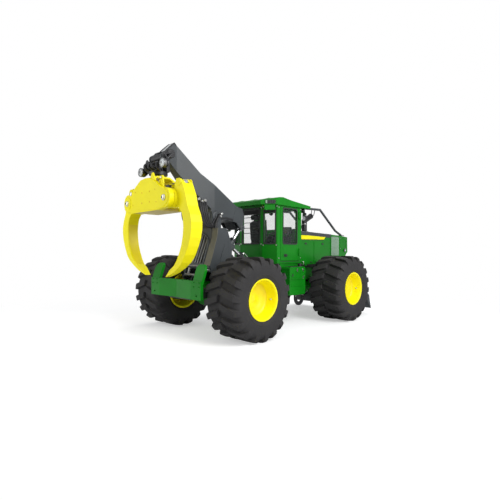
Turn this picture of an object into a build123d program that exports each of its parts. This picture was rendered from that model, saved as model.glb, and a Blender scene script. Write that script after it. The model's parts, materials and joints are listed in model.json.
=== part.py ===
from build123d import *
from math import cos, hypot, pi, sin, sqrt
import os

os.makedirs("parts", exist_ok=True)

# A four-wheel articulated grapple skidder, in millimetres.
# Origin on the ground below the articulation axis, +X to the front blade, +Y to the left, +Z up.

# Driving dimensions of the running gear
WHEELBASE = 3720
TRACK = 2780
TYRE_R = 905
TYRE_W = 980
LUG_H = 55
LUGS = 18
LUG_W = 135
LUG_SWEEP = 165
SHOULDER_Y = 420
SHOULDER_R = 780
SIDEWALL_R = 730
BEAD_IN = 55
RIM_FLANGE_R = 450
RIM_BARREL_R = 416
RIM_WALL = 20
DISC_OUT = 180
SEAT_GAP = 0.3
AXLE_TUBE_R = 165
DIFF_R = 300
HUB_R = 255
HUB_IN = 170
SPINDLE_R = 80
RUNNING_FIT = 0.05
FACE_GAP = 2

FRONT_AXLE_X = WHEELBASE / 2
REAR_AXLE_X = -WHEELBASE / 2
WHEEL_Y = TRACK / 2

# Frames: the rails clear the axle tubes
RAIL_Y = 400
RAIL_T = 40
RAIL_H = 350
RAIL_Z0 = TYRE_R + AXLE_TUBE_R + 30
RAIL_Z1 = RAIL_Z0 + RAIL_H
RAIL_START = 300
DIFF_CLEAR = 20
FRONT_NOSE_X = FRONT_AXLE_X + 1200
FRONT_DROP_Z = RAIL_Z0 - 420
NECK_HALF = 190
NECK_PLATE_T = 40
HINGE_PIN_R = 55
HINGE_LUG_R = 170
HINGE_LUG_T = 60
HINGE_GAP = 6
HINGE_Z = (RAIL_Z0 - 300, RAIL_Z0 + 210)

# Tank and step boxes: x limits, y limits, height and corner cut
STEP_X = (35, 715)
STEP_Y = (740, 1020)
STEP_TOP = RAIL_Z1 + 70
STEP_H = 740
STEP_CUT = 40
STEP_RIB = 12
RIB_RISES = (0.31, 0.55)
LOOP_X = (285, 695)
LOOP_LEG = 100
LOOP_DROP = 290
LOOP_T = 30

# Cab
CAB_HALF = 800
CAB_REAR_X = -360
CAB_REAR_HALF = 410
CAB_CORNER_X = -210
CAB_FRONT_X = 820
CAB_Z0 = RAIL_Z1 + 160
CAB_Z1 = CAB_Z0 + 1530
CAB_WALL = 60
DOOR_X = (-75, 710)
DOOR_Z = (CAB_Z0 + 70, CAB_Z1 - 30)
DOOR_GAP = 6
DOOR_FRAME = 90
HINGE_ROWS = (DOOR_Z[0] + 170, DOOR_Z[1] - 260)
HINGE_H = 110
HINGE_R = 20
HINGE_BORE_R = 8
DOOR_HINGE = (DOOR_X[1] - DOOR_GAP, CAB_HALF + HINGE_R + 6)
KNUCKLE_H = 45
WINDOW_Z = (CAB_Z0 + 520, CAB_Z1 - 75)
REAR_PILLAR = 90
FRONT_PILLAR = 110
GLASS_T = 8
ROOF_T = 60
ROOF_RISE = 200
ROOF_FRONT_X = CAB_FRONT_X + 360
ROOF_HALF = CAB_HALF + 50

# Hood and radiator housing
HOOD_HALF = 620
HOOD_Z0 = RAIL_Z1 + 110
HOOD_WALL = 20
HOOD_TOP = (CAB_Z0 + 900, CAB_Z0 + 830)
HOOD_SILL_H = 40
HOOD_RESTS = (1300, FRONT_AXLE_X + 440, FRONT_NOSE_X - 80)
NOSE_X = FRONT_AXLE_X + 1740
NOSE_BACK_X = FRONT_AXLE_X + 1240
GRILLE_DEPTH = 80
STACK_AT = (1640, -300)
STACK_R = 80
STACK_H = 340
GUARD_Y = 580
GUARD_R = 35

# Arch, boom and grapple: each pivot as (x, z)
ARCH_PIN = (REAR_AXLE_X - 150, RAIL_Z0 + 50)
BOOM_PIN = (ARCH_PIN[0] + 100, ARCH_PIN[1] + 1590)
HANG_PIN = (BOOM_PIN[0] - 1350, BOOM_PIN[1] + 1190)
ARCH_HALF = 600
ARCH_PLATE_T = 45
ARCH_PIN_R = 60
ARCH_NECK_HALF = 365
NECK_EAR_T = 50
BOOM_HALF = 300
BOOM_NOSE_HALF = 110
BOOM_TAPER = (BOOM_PIN[0] - 950, BOOM_PIN[0])
BOOM_WALL = 30
BOOM_PIN_R = 55
PIN_R = 45
EAR_GAP = 6
NOSE_EAR_Y = 205
NOSE_EAR_T = 35
NOSE_TUBE_R = 70
LAMP_Y = 420
LAMP_R = 95
SWAY_Z = HANG_PIN[1] - 210
SWAY_EYE_R = 75
ROTATOR_R = 200
ROTATOR_H = 70
ROTATOR_Z0 = SWAY_Z - 165
HEAD_TOP = ROTATOR_Z0 - 52
HEAD_TOP_T = 35
HEAD_CROWN = 85
HEAD_HALF_X = 310
NECK_R = 60
TONG_PIN_HEAD = 40
HEAD_PLATE_T = 110
HEAD_YAW = -3.5
# tong pins as (y, z), and the pins of the cylinder on the arms above them
TONG_PIN = (800, HANG_PIN[1] - 950)
TONG_T = 250
TONG_TIP_T = 120
TONG_LOBE_R = 200
GRAPPLE_CYL_PIN = (TONG_PIN[0] + 240, TONG_PIN[1] + 300)
GRAPPLE_BARREL = 1060
GRAPPLE_BARREL_R = 64
GRAPPLE_ROD_R = 36
GRAPPLE_NECK = 240
GRAPPLE_EYE_R = 60
GRAPPLE_PIN_R = 35

# Blade
BLADE_REACH = 580
BLADE_FRONT_X = FRONT_NOSE_X + BLADE_REACH
BLADE_HALF = 1450
BLADE_CLEAR = 150
BLADE_H = 900
BLADE_LEAN = 200
BLADE_CORNER = (250, 0.55 * BLADE_H)
BLADE_PIN = (FRONT_AXLE_X + 440, RAIL_Z0 - 350)
BLADE_ARM_Y = 520
BLADE_ARM_T = 60
BLADE_ARM_R = 85

# Butt plate at the tail
TAIL_X = REAR_AXLE_X - 840
BUMPER_Z = (RAIL_Z0 - 210, RAIL_Z0 + 190)
BUMPER_FOLD = 60
POST_Y = (640, 940)
POST_TOP = BUMPER_Z[0] + 750
POST_LEAN = 150

# Tie-down holes: in the rear plate, and through the front rails
TIE_R = 30
TIE_REAR = (TAIL_X - 95, 790, RAIL_Z0 - 110)
TIE_FRONT = (FRONT_NOSE_X - 70, RAIL_Y - RAIL_T / 2, RAIL_Z1 - 80)

# Winch
WINCH_AT = (REAR_AXLE_X + 540, RAIL_Z1 + 230)
DRUM_R = 130
DRUM_FLANGE_R = 190

# Hydraulic cylinders: base pin, eye pin, half spacing, barrel radius, rod radius, barrel length,
# and how far the rod goes into the barrel from rest
EYE_W = 80
EYE_R = 65
EAR_T = 25
GLAND_L = 60
GLAND_OUT = 8
CYL_NECK = EYE_R + 12
CYLINDERS = {
    "arch": dict(
        base=(ARCH_PIN[0] + 1310, ARCH_PIN[1] + 280),
        eye=(ARCH_PIN[0] + 450, ARCH_PIN[1] + 880),
        y=500, barrel_r=75, rod_r=42, barrel=720, retract=20,
    ),
    "boom": dict(
        base=(ARCH_PIN[0] + 250, ARCH_PIN[1] + 400),
        eye=(BOOM_PIN[0] + 920, BOOM_PIN[1] - 240),
        y=215, barrel_r=75, rod_r=42, barrel=860, retract=20,
    ),
    "blade": dict(
        base=(BLADE_PIN[0] + 300, BLADE_PIN[1] + 650),
        eye=(BLADE_FRONT_X - 370, BLADE_PIN[1] + 50),
        y=700, barrel_r=60, rod_r=35, barrel=520, retract=230,
    ),
}
STEER_BASE = (1150, 470)
STEER_EYE = (-120, 460)
STEER_Z = RAIL_Z0 - 100
STEER_BARREL_R = 55
STEER_ROD_R = 30
STEER_BARREL = 760


# Shape helpers

def block(x, y, z):
    """Box between pairs of limits."""
    return Pos(sum(x) / 2, sum(y) / 2, sum(z) / 2) * Box(x[1] - x[0], y[1] - y[0], z[1] - z[0])


def side_plate(outline, y0, y1):
    """Outline of (x, z) points made solid between y0 and y1."""
    face = make_face(Polyline(*[(x, y0, z) for x, z in outline], close=True))
    return extrude(face, amount=y1 - y0, dir=(0, 1, 0))


def cross_plate(outline, x0, x1):
    """Outline of (y, z) points made solid between x0 and x1."""
    face = make_face(Polyline(*[(x0, y, z) for y, z in outline], close=True))
    return extrude(face, amount=x1 - x0, dir=(1, 0, 0))


def deck_plate(outline, z0, z1):
    """Outline of (x, y) points made solid between z0 and z1."""
    face = make_face(Polyline(*[(x, y, z0) for x, y in outline], close=True))
    return extrude(face, amount=z1 - z0, dir=(0, 0, 1))


def bar(start, end, radius):
    """Round bar from one point to another."""
    axis = Vector(*end) - Vector(*start)
    solid = Cylinder(radius, axis.length, align=(Align.CENTER, Align.CENTER, Align.MIN))
    return Plane(origin=start, z_dir=axis) * solid


def moved(points, origin):
    """Points given from an origin, in the machine's frame."""
    return [(origin[0] + u, origin[1] + v) for u, v in points]


def across(x, z, y0, y1, radius):
    """Round bar along Y."""
    return bar((x, y0, z), (x, y1, z), radius)


def link_plate(p, q, radius, y0, y1):
    """Round-ended plate between two (x, z) points, from y0 to y1."""
    length = hypot(q[0] - p[0], q[1] - p[1])
    middle = ((p[0] + q[0]) / 2, y0, (p[1] + q[1]) / 2)
    plane = Plane(origin=middle, x_dir=(q[0] - p[0], 0, q[1] - p[1]), z_dir=(0, 1, 0))
    return extrude(plane * SlotCenterToCenter(length, 2 * radius), amount=y1 - y0)


def flat_link(p, q, radius, z0, z1):
    """Round-ended plate between two (x, y) points, from z0 to z1."""
    length = hypot(q[0] - p[0], q[1] - p[1])
    middle = ((p[0] + q[0]) / 2, (p[1] + q[1]) / 2, z0)
    plane = Plane(origin=middle, x_dir=(q[0] - p[0], q[1] - p[1], 0), z_dir=(0, 0, 1))
    return extrude(plane * SlotCenterToCenter(length, 2 * radius), amount=z1 - z0)


def mirrored(solid):
    """The same solid on the other side of the centre plane."""
    return mirror(solid, Plane.XZ)


def both(solid):
    """A solid and its mirror image, fused where they meet."""
    return solid + mirrored(solid)


def ears(pin, anchor, y, width, gap, radius=EYE_R):
    """Two ear plates either side of an eye of the given width at y."""
    inner = width / 2 + gap
    near = link_plate(pin, anchor, radius, y - inner - EAR_T, y - inner)
    far = link_plate(pin, anchor, radius, y + inner, y + inner + EAR_T)
    return near + far


def ears_with_pin(pin, anchor, y, width=EYE_W, radius=EYE_R):
    """Base ears with the pin through them."""
    inner = width / 2 + 1
    return ears(pin, anchor, y, width, 1, radius) + across(*pin, y - inner - EAR_T - 10, y + inner + EAR_T + 10, PIN_R)


def cylinder_barrel(length, radius, rod_r, neck, eye_r=EYE_R, pin_r=PIN_R):
    """Barrel along +Z from its base eye at the origin, on a slim neck; the eye's pin runs along Y."""
    up = (Align.CENTER, Align.CENTER, Align.MIN)
    eye = Rot(90, 0, 0) * Cylinder(eye_r, EYE_W)
    stem = Pos(0, 0, eye_r * 0.7) * Cylinder(EYE_W / 2 - 4, neck, align=up)
    tube = Pos(0, 0, neck) * Cylinder(radius, length - neck, align=up)
    gland = Pos(0, 0, length - GLAND_L) * Cylinder(radius + GLAND_OUT, GLAND_L, align=up)
    bore = Pos(0, 0, neck + 15) * Cylinder(rod_r + SEAT_GAP, length, align=up)
    pin_bore = Rot(90, 0, 0) * Cylinder(pin_r + RUNNING_FIT, EYE_W * 3)
    return eye + stem + tube + gland - bore - pin_bore


def cylinder_rod(length, start, rod_r, eye_r=EYE_R):
    """Rod along +Z from inside the barrel to its eye at the given distance."""
    shaft = Pos(0, 0, start) * Cylinder(rod_r, length - start, align=(Align.CENTER, Align.CENTER, Align.MIN))
    return shaft + Pos(0, 0, length) * Rot(90, 0, 0) * Cylinder(eye_r, EYE_W)


def laid_cylinder(spec, y):
    """Barrel and rod of one cylinder between its two (x, z) pins, at y."""
    base, eye = spec["base"], spec["eye"]
    length = hypot(eye[0] - base[0], eye[1] - base[1])
    plane = Plane(
        origin=(base[0], y, base[1]),
        x_dir=(eye[1] - base[1], 0, base[0] - eye[0]),
        z_dir=(eye[0] - base[0], 0, eye[1] - base[1]),
    )
    barrel = plane * cylinder_barrel(spec["barrel"], spec["barrel_r"], spec["rod_r"], CYL_NECK)
    rod = plane * cylinder_rod(length, CYL_NECK + 20 + spec["retract"], spec["rod_r"])
    return barrel, rod


def save(node, *solids):
    """Write one node as a STEP file of its solids."""
    flat = []
    for solid in solids:
        flat.extend(solid.solids())
    export_step(Compound(children=flat), f"parts/{node}.step")


# Wheels: profiles are (radius, distance outboard of the wheel's middle)

def flats(apothem, y):
    """Outline about the Y axis with one flat to each lug, the first one at the top."""
    corner = apothem / cos(pi / LUGS)
    turns = [2 * pi * (k + 0.5) / LUGS for k in range(LUGS)]
    return make_face(Polyline(*[(corner * sin(t), y, corner * cos(t)) for t in turns], close=True))


def wheel_tyre():
    """Tyre about the Y axis, with flats so that its lugs cost few faces."""
    half = TYRE_W / 2
    crown = TYRE_R - LUG_H
    bead_y = half - BEAD_IN
    outer = extrude(flats(crown, 0), amount=SHOULDER_Y, dir=(0, 1, 0))
    outer += loft([flats(crown, SHOULDER_Y), flats(SHOULDER_R, half)], ruled=True)
    # one lug on the top flat: a slanted bar whose top corners reach the tyre's radius
    reach = (LUG_W + LUG_SWEEP) / 2
    lug_top = sqrt(TYRE_R ** 2 - reach ** 2)
    bar_outline = [(reach - LUG_W, 0), (reach, 0), (LUG_W - reach, half), (-reach, half)]
    top = make_face(Polyline(*[(x, y, lug_top) for x, y in bar_outline], close=True))
    end = [(0, crown - LUG_H), (0, lug_top), (SHOULDER_Y, lug_top)]
    end += [(half, SHOULDER_R), (half, crown - 2 * LUG_H)]
    lug = extrude(top, amount=3 * LUG_H, dir=(0, 0, -1)) & cross_plate(end, -reach, reach)
    pitch = 360 / LUGS
    for step in range(LUGS):
        outer += Rot(0, step * pitch, 0) * lug
    tyre = outer + Rot(0, pitch / 2, 0) * mirrored(outer)
    # hollow of each sidewall, down to the rim's flange
    recess = loft([flats(RIM_FLANGE_R + 12, bead_y), flats(SIDEWALL_R, half + 1)], ruled=True)
    tyre -= recess
    tyre -= Rot(0, pitch / 2, 0) * mirrored(recess)
    return tyre - bar((0, -half, 0), (0, half, 0), RIM_BARREL_R + SEAT_GAP)


def wheel_rim():
    """Rim, disc and hub about the Y axis, with the outboard side at +Y."""
    half = TYRE_W / 2
    inner = RIM_BARREL_R - RIM_WALL
    flange_gap = half - BEAD_IN + SEAT_GAP
    outline = [
        (RIM_BARREL_R, -flange_gap),
        (RIM_FLANGE_R, -flange_gap),
        (RIM_FLANGE_R, -flange_gap - 20),
        (inner, -flange_gap - 20),
        (inner, DISC_OUT - 25),
        (HUB_R, DISC_OUT - 60),
        (HUB_R, -HUB_IN),
        (SPINDLE_R + RUNNING_FIT, -HUB_IN),
        (SPINDLE_R + RUNNING_FIT, DISC_OUT - 60),
        (0, DISC_OUT - 60),
        (0, DISC_OUT + 40),
        (HUB_R - 60, DISC_OUT + 40),
        (HUB_R - 40, DISC_OUT - 30),
        (inner, DISC_OUT + 5),
        (inner, flange_gap + 20),
        (RIM_FLANGE_R, flange_gap + 20),
        (RIM_FLANGE_R, flange_gap),
        (RIM_BARREL_R, flange_gap),
    ]
    return revolve(make_face(Polyline(*[(r, a, 0) for r, a in outline], close=True)), Axis.Y)


def wheels():
    """The four tyres and rims."""
    tyre = wheel_tyre()
    rim = wheel_rim()
    # end of the machine, axle place
    for end, x in (("front", FRONT_AXLE_X), ("rear", REAR_AXLE_X)):
        save(f"tyre_{end}_left", Pos(x, WHEEL_Y, TYRE_R) * tyre)
        save(f"rim_{end}_left", Pos(x, WHEEL_Y, TYRE_R) * rim)
        save(f"tyre_{end}_right", Pos(x, -WHEEL_Y, TYRE_R) * mirrored(tyre))
        save(f"rim_{end}_right", Pos(x, -WHEEL_Y, TYRE_R) * mirrored(rim))


def axle(x, cradle_z):
    """Axle tube, differential, spindles and the seats under the rails."""
    hub_face = WHEEL_Y - HUB_IN - FACE_GAP
    half = bar((x, 0, TYRE_R), (x, hub_face - 60, TYRE_R), AXLE_TUBE_R)
    half += bar((x, hub_face - 60, TYRE_R), (x, hub_face, TYRE_R), HUB_R - 10)
    half += bar((x, hub_face, TYRE_R), (x, WHEEL_Y + DISC_OUT - 80, TYRE_R), SPINDLE_R)
    half += block((x - 80, x + 80), (RAIL_Y - RAIL_T - 60, RAIL_Y), (TYRE_R, cradle_z))
    ball = Pos(x, 0, TYRE_R) * Sphere(DIFF_R)
    ball &= block((x - DIFF_R, x + DIFF_R), (-RAIL_Y + RAIL_T + 5, RAIL_Y - RAIL_T - 5), (0, 2 * TYRE_R))
    return both(half) + ball


# Front body

def front_frame():
    """Two rails, cross plates, the neck with its hinge lugs and pins, and the brackets."""
    inside = RAIL_Y - RAIL_T
    drop_x = FRONT_AXLE_X + DIFF_R + DIFF_CLEAR
    neck_x = FRONT_AXLE_X - DIFF_R - 3 * DIFF_CLEAR
    web_x = RAIL_START + NECK_PLATE_T
    shape = both(block((RAIL_START, FRONT_NOSE_X), (inside, RAIL_Y), (RAIL_Z0, RAIL_Z1)))
    # cross plates: rear face, bottom
    for x, z in (
        (RAIL_START, RAIL_Z0),
        (RAIL_START + 950, RAIL_Z0),
        (drop_x + 240, FRONT_DROP_Z),
        (FRONT_NOSE_X - NECK_PLATE_T, FRONT_DROP_Z),
    ):
        shape += block((x, x + NECK_PLATE_T), (-inside, inside), (z, RAIL_Z1))
    shape += both(block((drop_x, FRONT_NOSE_X), (inside, RAIL_Y), (FRONT_DROP_Z, RAIL_Z0)))
    shape += block((drop_x, FRONT_NOSE_X), (-RAIL_Y, RAIL_Y), (FRONT_DROP_Z - 20, FRONT_DROP_Z + 20))
    shape -= across(TIE_FRONT[0], TIE_FRONT[2], -RAIL_Y - 10, RAIL_Y + 10, TIE_R)
    # neck box and hinge lugs, with the pins that the rear frame's lugs turn on
    neck_z = HINGE_Z[0] - 40
    shape += block((RAIL_START - 90, web_x), (-NECK_HALF, NECK_HALF), (neck_z, RAIL_Z0 + 5))
    shape += block((web_x, neck_x), (-NECK_HALF, NECK_HALF), (neck_z, neck_z + NECK_PLATE_T))
    for side in (-1, 1):
        wall = sorted((side * NECK_HALF, side * (NECK_HALF - NECK_PLATE_T)))
        shape += block((web_x, neck_x), wall, (neck_z + NECK_PLATE_T, RAIL_Z0))
    shape += block((web_x, neck_x), (-RAIL_Y, RAIL_Y), (RAIL_Z0, RAIL_Z0 + NECK_PLATE_T))
    for z in HINGE_Z:
        step = HINGE_LUG_T / 2 + HINGE_GAP
        for side in (-1, 1):
            z0 = z + side * step - (HINGE_LUG_T if side < 0 else 0)
            shape += flat_link((0, 0), (RAIL_START - 30, 0), HINGE_LUG_R, z0, z0 + HINGE_LUG_T)
        shape += bar((0, 0, z - step - 10), (0, 0, z + step + 10), HINGE_PIN_R)
    shape += block((RAIL_START - 90, web_x), (-NECK_HALF, NECK_HALF), (RAIL_Z0, RAIL_Z1))
    # steering cylinder ears on the rails
    inner = EYE_W / 2 + 1
    for side in (-1, 1):
        y = side * STEER_BASE[1]
        anchor = (STEER_BASE[0] + 60, side * (RAIL_Y - 40))
        for z0 in (STEER_Z - inner - EAR_T, STEER_Z + inner):
            shape += flat_link((STEER_BASE[0], y), anchor, EYE_R, z0, z0 + EAR_T)
        shape += bar(
            (STEER_BASE[0], y, STEER_Z - inner - EAR_T - 8),
            (STEER_BASE[0], y, STEER_Z + inner + EAR_T + 8),
            PIN_R,
        )
        wall = sorted((side * (RAIL_Y - 60), side * (RAIL_Y - 20)))
        shape += block((STEER_BASE[0], STEER_BASE[0] + 125), wall, (STEER_Z - inner - EAR_T, RAIL_Z0 + 10))
    # cab posts and step brackets
    for x in (CAB_REAR_X + 790, CAB_FRONT_X - 80):
        shape += both(block((x - 40, x + 40), (RAIL_Y - 60, RAIL_Y), (RAIL_Z1, CAB_Z0)))
    step_mid = sum(STEP_X) / 2
    for x in (step_mid - 200, step_mid + 200):
        shape += both(block((x - 25, x + 25), (RAIL_Y - 60, STEP_Y[0]), (RAIL_Z1 - 190, RAIL_Z1 - 110)))
    foot = (step_mid - 230, step_mid + 240)
    shape += both(block(foot, (RAIL_Y - 60, RAIL_Y), (RAIL_Z1 - 210, RAIL_Z1 - 90)))
    # blade pivots and the bases of the blade cylinders
    arm_in = BLADE_ARM_Y - BLADE_ARM_T / 2 - 1
    for side in (-1, 1):
        pin_y = sorted((side * (RAIL_Y - 10), side * (BLADE_ARM_Y + BLADE_ARM_T / 2 + EAR_T + 1)))
        shape += across(*BLADE_PIN, *pin_y, PIN_R)
        boss_top = (BLADE_PIN[0], BLADE_PIN[1] + 150)
        shape += link_plate(BLADE_PIN, boss_top, BLADE_ARM_R, *sorted((side * (RAIL_Y - 20), side * arm_in)))
        base = CYLINDERS["blade"]["base"]
        y = CYLINDERS["blade"]["y"]
        shape += ears_with_pin(base, (base[0] - 110, base[1] - 20), side * y)
        beam = sorted((side * (RAIL_Y - 20), side * (y + EYE_W / 2 + EAR_T)))
        shape += block((base[0] - 220, base[0] - 90), beam, (RAIL_Z1 - 130, RAIL_Z1))
    # outriggers under the hood's sills
    for x in HOOD_RESTS:
        shape += both(block((x - 30, x + 30), (inside, RAIL_Y), (RAIL_Z1, HOOD_Z0 - HOOD_SILL_H)))
    return shape


def hood():
    """Sheet hood over the engine, open below and at the front."""
    x0, x1 = CAB_FRONT_X + 2, NOSE_BACK_X
    outline = [(x0, HOOD_Z0), (x1, HOOD_Z0), (x1, HOOD_TOP[1]), (x0, HOOD_TOP[0])]
    inner = [
        (x0 - 1, HOOD_Z0 - 1),
        (x1 + 1, HOOD_Z0 - 1),
        (x1 + 1, HOOD_TOP[1] - HOOD_WALL),
        (x0 - 1, HOOD_TOP[0] - HOOD_WALL),
    ]
    shell = side_plate(outline, -HOOD_HALF, HOOD_HALF)
    shell -= side_plate(inner, -HOOD_HALF + HOOD_WALL, HOOD_HALF - HOOD_WALL)
    # sills that rest on the rails' outriggers
    for x in HOOD_RESTS:
        shell += block((x - 40, x + 40), (-HOOD_HALF + 5, HOOD_HALF - 5), (HOOD_Z0 - HOOD_SILL_H, HOOD_Z0))
    return shell


def engine_block():
    """Plain mass of the engine and its gearbox, standing on the rails."""
    between_rests = (HOOD_RESTS[0] + 100, HOOD_RESTS[1] - 100)
    return block(between_rests, (-RAIL_Y, RAIL_Y), (RAIL_Z1, RAIL_Z1 + 750))


def radiator_housing():
    """Front box with the radiator, its side screens and the rear face against the hood."""
    top = HOOD_TOP[1] - HOOD_Z0
    depth = NOSE_X - NOSE_BACK_X
    # points from the housing's lower rear edge
    outline = [(0, 0), (depth - 320, 0), (depth - 60, 310), (depth, 350), (depth - 20, top - 40), (0, top)]
    box = side_plate(moved(outline, (NOSE_BACK_X, HOOD_Z0)), -HOOD_HALF, HOOD_HALF)
    grille = (HOOD_Z0 + 420, HOOD_TOP[1] - 110)
    return box - block((NOSE_X - GRILLE_DEPTH, NOSE_X + 10), (-HOOD_HALF + 60, HOOD_HALF - 60), grille)


def side_steps():
    """Tank and step boxes under both doors."""
    x0, x1 = STEP_X
    z0, z1 = STEP_TOP - STEP_H, STEP_TOP
    cut = STEP_CUT
    outline = [(x0, z0 + cut), (x0 + cut, z0), (x1 - cut, z0), (x1, z0 + cut)]
    outline += [(x1, z1 - cut), (x1 - cut, z1), (x0 + cut, z1), (x0, z1 - cut)]
    left = side_plate(outline, *STEP_Y)
    # pressed ribs across the outer face
    for rise in RIB_RISES:
        z = z0 + rise * STEP_H
        left += block((x0 + 2 * cut, x1 - 2 * cut), (STEP_Y[1] - 10, STEP_Y[1] + STEP_RIB), (z, z + 2 * STEP_RIB))
    return left, mirrored(left)


def step_loops():
    """Rubber step hanging under each box as a loop with a rounded foot."""
    x0, x1 = LOOP_X
    top = STEP_TOP - STEP_H - SEAT_GAP
    mid = (x0 + x1) / 2
    radius = (x1 - x0) / 2
    y = (STEP_Y[1] - 2 * LOOP_T, STEP_Y[1] - LOOP_T)
    foot_z = top - LOOP_DROP + radius
    outer = block((x0, x1), y, (foot_z, top)) + across(mid, foot_z, *y, radius)
    inner_r = radius - LOOP_LEG
    reach = (y[0] - 5, y[1] + 5)
    inner = block((mid - inner_r, mid + inner_r), reach, (foot_z, top - LOOP_T)) + across(mid, foot_z, *reach, inner_r)
    left = (outer - inner) & block((x0, x1), y, (foot_z - radius, top))
    return left, mirrored(left)


def cab_outline(inset):
    """Cab plan outline, moved in by the inset."""
    rear = CAB_REAR_X + inset
    side = CAB_HALF - inset
    front = CAB_FRONT_X - inset
    half = CAB_REAR_HALF - inset * 0.4
    corner = CAB_CORNER_X + inset * 0.7
    return [
        (rear, -half),
        (corner, -side),
        (front, -side),
        (front, side),
        (corner, side),
        (rear, half),
    ]


def cab_shell():
    """Cab body with its door openings and windows cut through the walls."""
    shell = deck_plate(cab_outline(0), CAB_Z0, CAB_Z1)
    shell -= deck_plate(cab_outline(CAB_WALL), CAB_Z0 + CAB_WALL, CAB_Z1 + 10)
    reach = CAB_HALF + 50
    for side in (-1, 1):
        wall = sorted((side * (CAB_HALF - CAB_WALL - 30), side * reach))
        shell -= block(DOOR_X, wall, DOOR_Z)
    rear_half = CAB_REAR_HALF - REAR_PILLAR
    front_half = CAB_HALF - FRONT_PILLAR
    front_z = (HOOD_TOP[0] + 40, WINDOW_Z[1])
    shell -= block((CAB_REAR_X - 50, CAB_REAR_X + CAB_WALL + 30), (-rear_half, rear_half), WINDOW_Z)
    shell -= block((CAB_FRONT_X - CAB_WALL - 30, CAB_FRONT_X + 50), (-front_half, front_half), front_z)
    corner = corner_window(120)
    shell -= corner
    shell -= mirrored(corner)
    # hinge knuckles above and below each barrel of the doors, with the pin between them
    axis_x, axis_y = DOOR_HINGE
    for z0 in HINGE_ROWS:
        for low in (z0 - KNUCKLE_H - 1, z0 + HINGE_H + 1):
            knuckle = bar((axis_x, axis_y, low), (axis_x, axis_y, low + KNUCKLE_H), HINGE_R)
            knuckle += block((axis_x + DOOR_GAP + 1, axis_x + 45), (CAB_HALF - 20, axis_y), (low, low + KNUCKLE_H))
            shell += both(knuckle)
        pin = bar((axis_x, axis_y, z0 - 20), (axis_x, axis_y, z0 + HINGE_H + 20), HINGE_BORE_R)
        shell += both(pin)
    return shell


def corner_frame():
    """Plane in the middle of the left angled rear wall, its Z pointing out of the cab."""
    dx = CAB_CORNER_X - CAB_REAR_X
    dy = CAB_HALF - CAB_REAR_HALF
    middle = ((CAB_CORNER_X + CAB_REAR_X) / 2, (CAB_HALF + CAB_REAR_HALF) / 2, sum(WINDOW_Z) / 2)
    return Plane(origin=middle, x_dir=(dx, dy, 0), z_dir=(-dy, dx, 0)), hypot(dx, dy)


def corner_window(depth):
    """Cutter for the left angled rear window."""
    plane, width = corner_frame()
    return plane * Box(width - FRONT_PILLAR, WINDOW_Z[1] - WINDOW_Z[0], depth * 2)


def cab_glass():
    """Fixed panes, each seated inside its opening."""
    gap = SEAT_GAP
    rear_mid = CAB_REAR_X + CAB_WALL / 2
    front_mid = CAB_FRONT_X - CAB_WALL / 2
    z = (WINDOW_Z[0] + gap, WINDOW_Z[1] - gap)
    rear_half = CAB_REAR_HALF - REAR_PILLAR - gap
    front_half = CAB_HALF - FRONT_PILLAR - gap
    rear = block((rear_mid - GLASS_T / 2, rear_mid + GLASS_T / 2), (-rear_half, rear_half), z)
    front = block(
        (front_mid - GLASS_T / 2, front_mid + GLASS_T / 2),
        (-front_half, front_half),
        (HOOD_TOP[0] + 40 + gap, WINDOW_Z[1] - gap),
    )
    plane, width = corner_frame()
    pane = Box(width - FRONT_PILLAR - 2 * gap, z[1] - z[0], GLASS_T)
    corner = plane * Pos(0, 0, -CAB_WALL / 2) * pane
    return rear, front, corner, mirrored(corner)


def cab_roof():
    """Roof cap with chamfered rear corners, highest over the seat."""
    rear = CAB_REAR_X - 230
    front = ROOF_FRONT_X
    plan = [(rear, -560), (rear, 560), (rear + 290, ROOF_HALF), (front, ROOF_HALF)]
    plan += [(front, -ROOF_HALF), (rear + 290, -ROOF_HALF)]
    # side outline, as x and height above the roof's underside
    peak = [(0.4 * CAB_FRONT_X, ROOF_RISE - 55), (-40, ROOF_RISE), (CAB_CORNER_X, ROOF_RISE - 15)]
    side = [(rear, 0), (front, 0), (front, 60), *peak, (rear, 95)]
    hollow = [(CAB_REAR_X + 110, -10), (CAB_FRONT_X - 130, -10), (CAB_FRONT_X - 130, 40)]
    hollow += [(x, rise - ROOF_T) for x, rise in peak]
    cap = deck_plate(plan, CAB_Z1, CAB_Z1 + ROOF_RISE + 10)
    cap &= side_plate(moved(side, (0, CAB_Z1)), -ROOF_HALF, ROOF_HALF)
    return cap - side_plate(moved(hollow, (0, CAB_Z1)), -ROOF_HALF + 150, ROOF_HALF - 150)


def cab_interior():
    """Seat on its pedestal, control consoles and front dash, standing on the cab floor."""
    floor = CAB_Z0 + CAB_WALL
    seat_z = floor + 330
    seat = block((80, 420), (-180, 180), (floor, seat_z))
    seat += block((20, 540), (-260, 260), (seat_z, seat_z + 130))
    seat += side_plate(moved([(-40, 0), (60, 0), (10, 670), (-70, 650)], (0, seat_z + 110)), -230, 230)
    consoles = both(block((80, 520), (300, 420), (floor, floor + 590)))
    dash_x = CAB_FRONT_X - CAB_WALL
    dash = block((dash_x - 90, dash_x - 10), (-500, 500), (floor, floor + 680))
    return seat, consoles, dash


def exhaust_stack():
    """Stack with its elbow, standing on the hood."""
    x, y = STACK_AT
    slope = (HOOD_TOP[0] - HOOD_TOP[1]) / (NOSE_BACK_X - CAB_FRONT_X)
    foot = HOOD_TOP[0] + SEAT_GAP - (x - STACK_R - CAB_FRONT_X) * slope
    elbow = (x, y, HOOD_TOP[0] + STACK_H)
    stack = bar((x, y, foot), elbow, STACK_R) + Pos(*elbow) * Sphere(STACK_R)
    return stack + bar(elbow, (x + 330, y, elbow[2] + 160), STACK_R)


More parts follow.
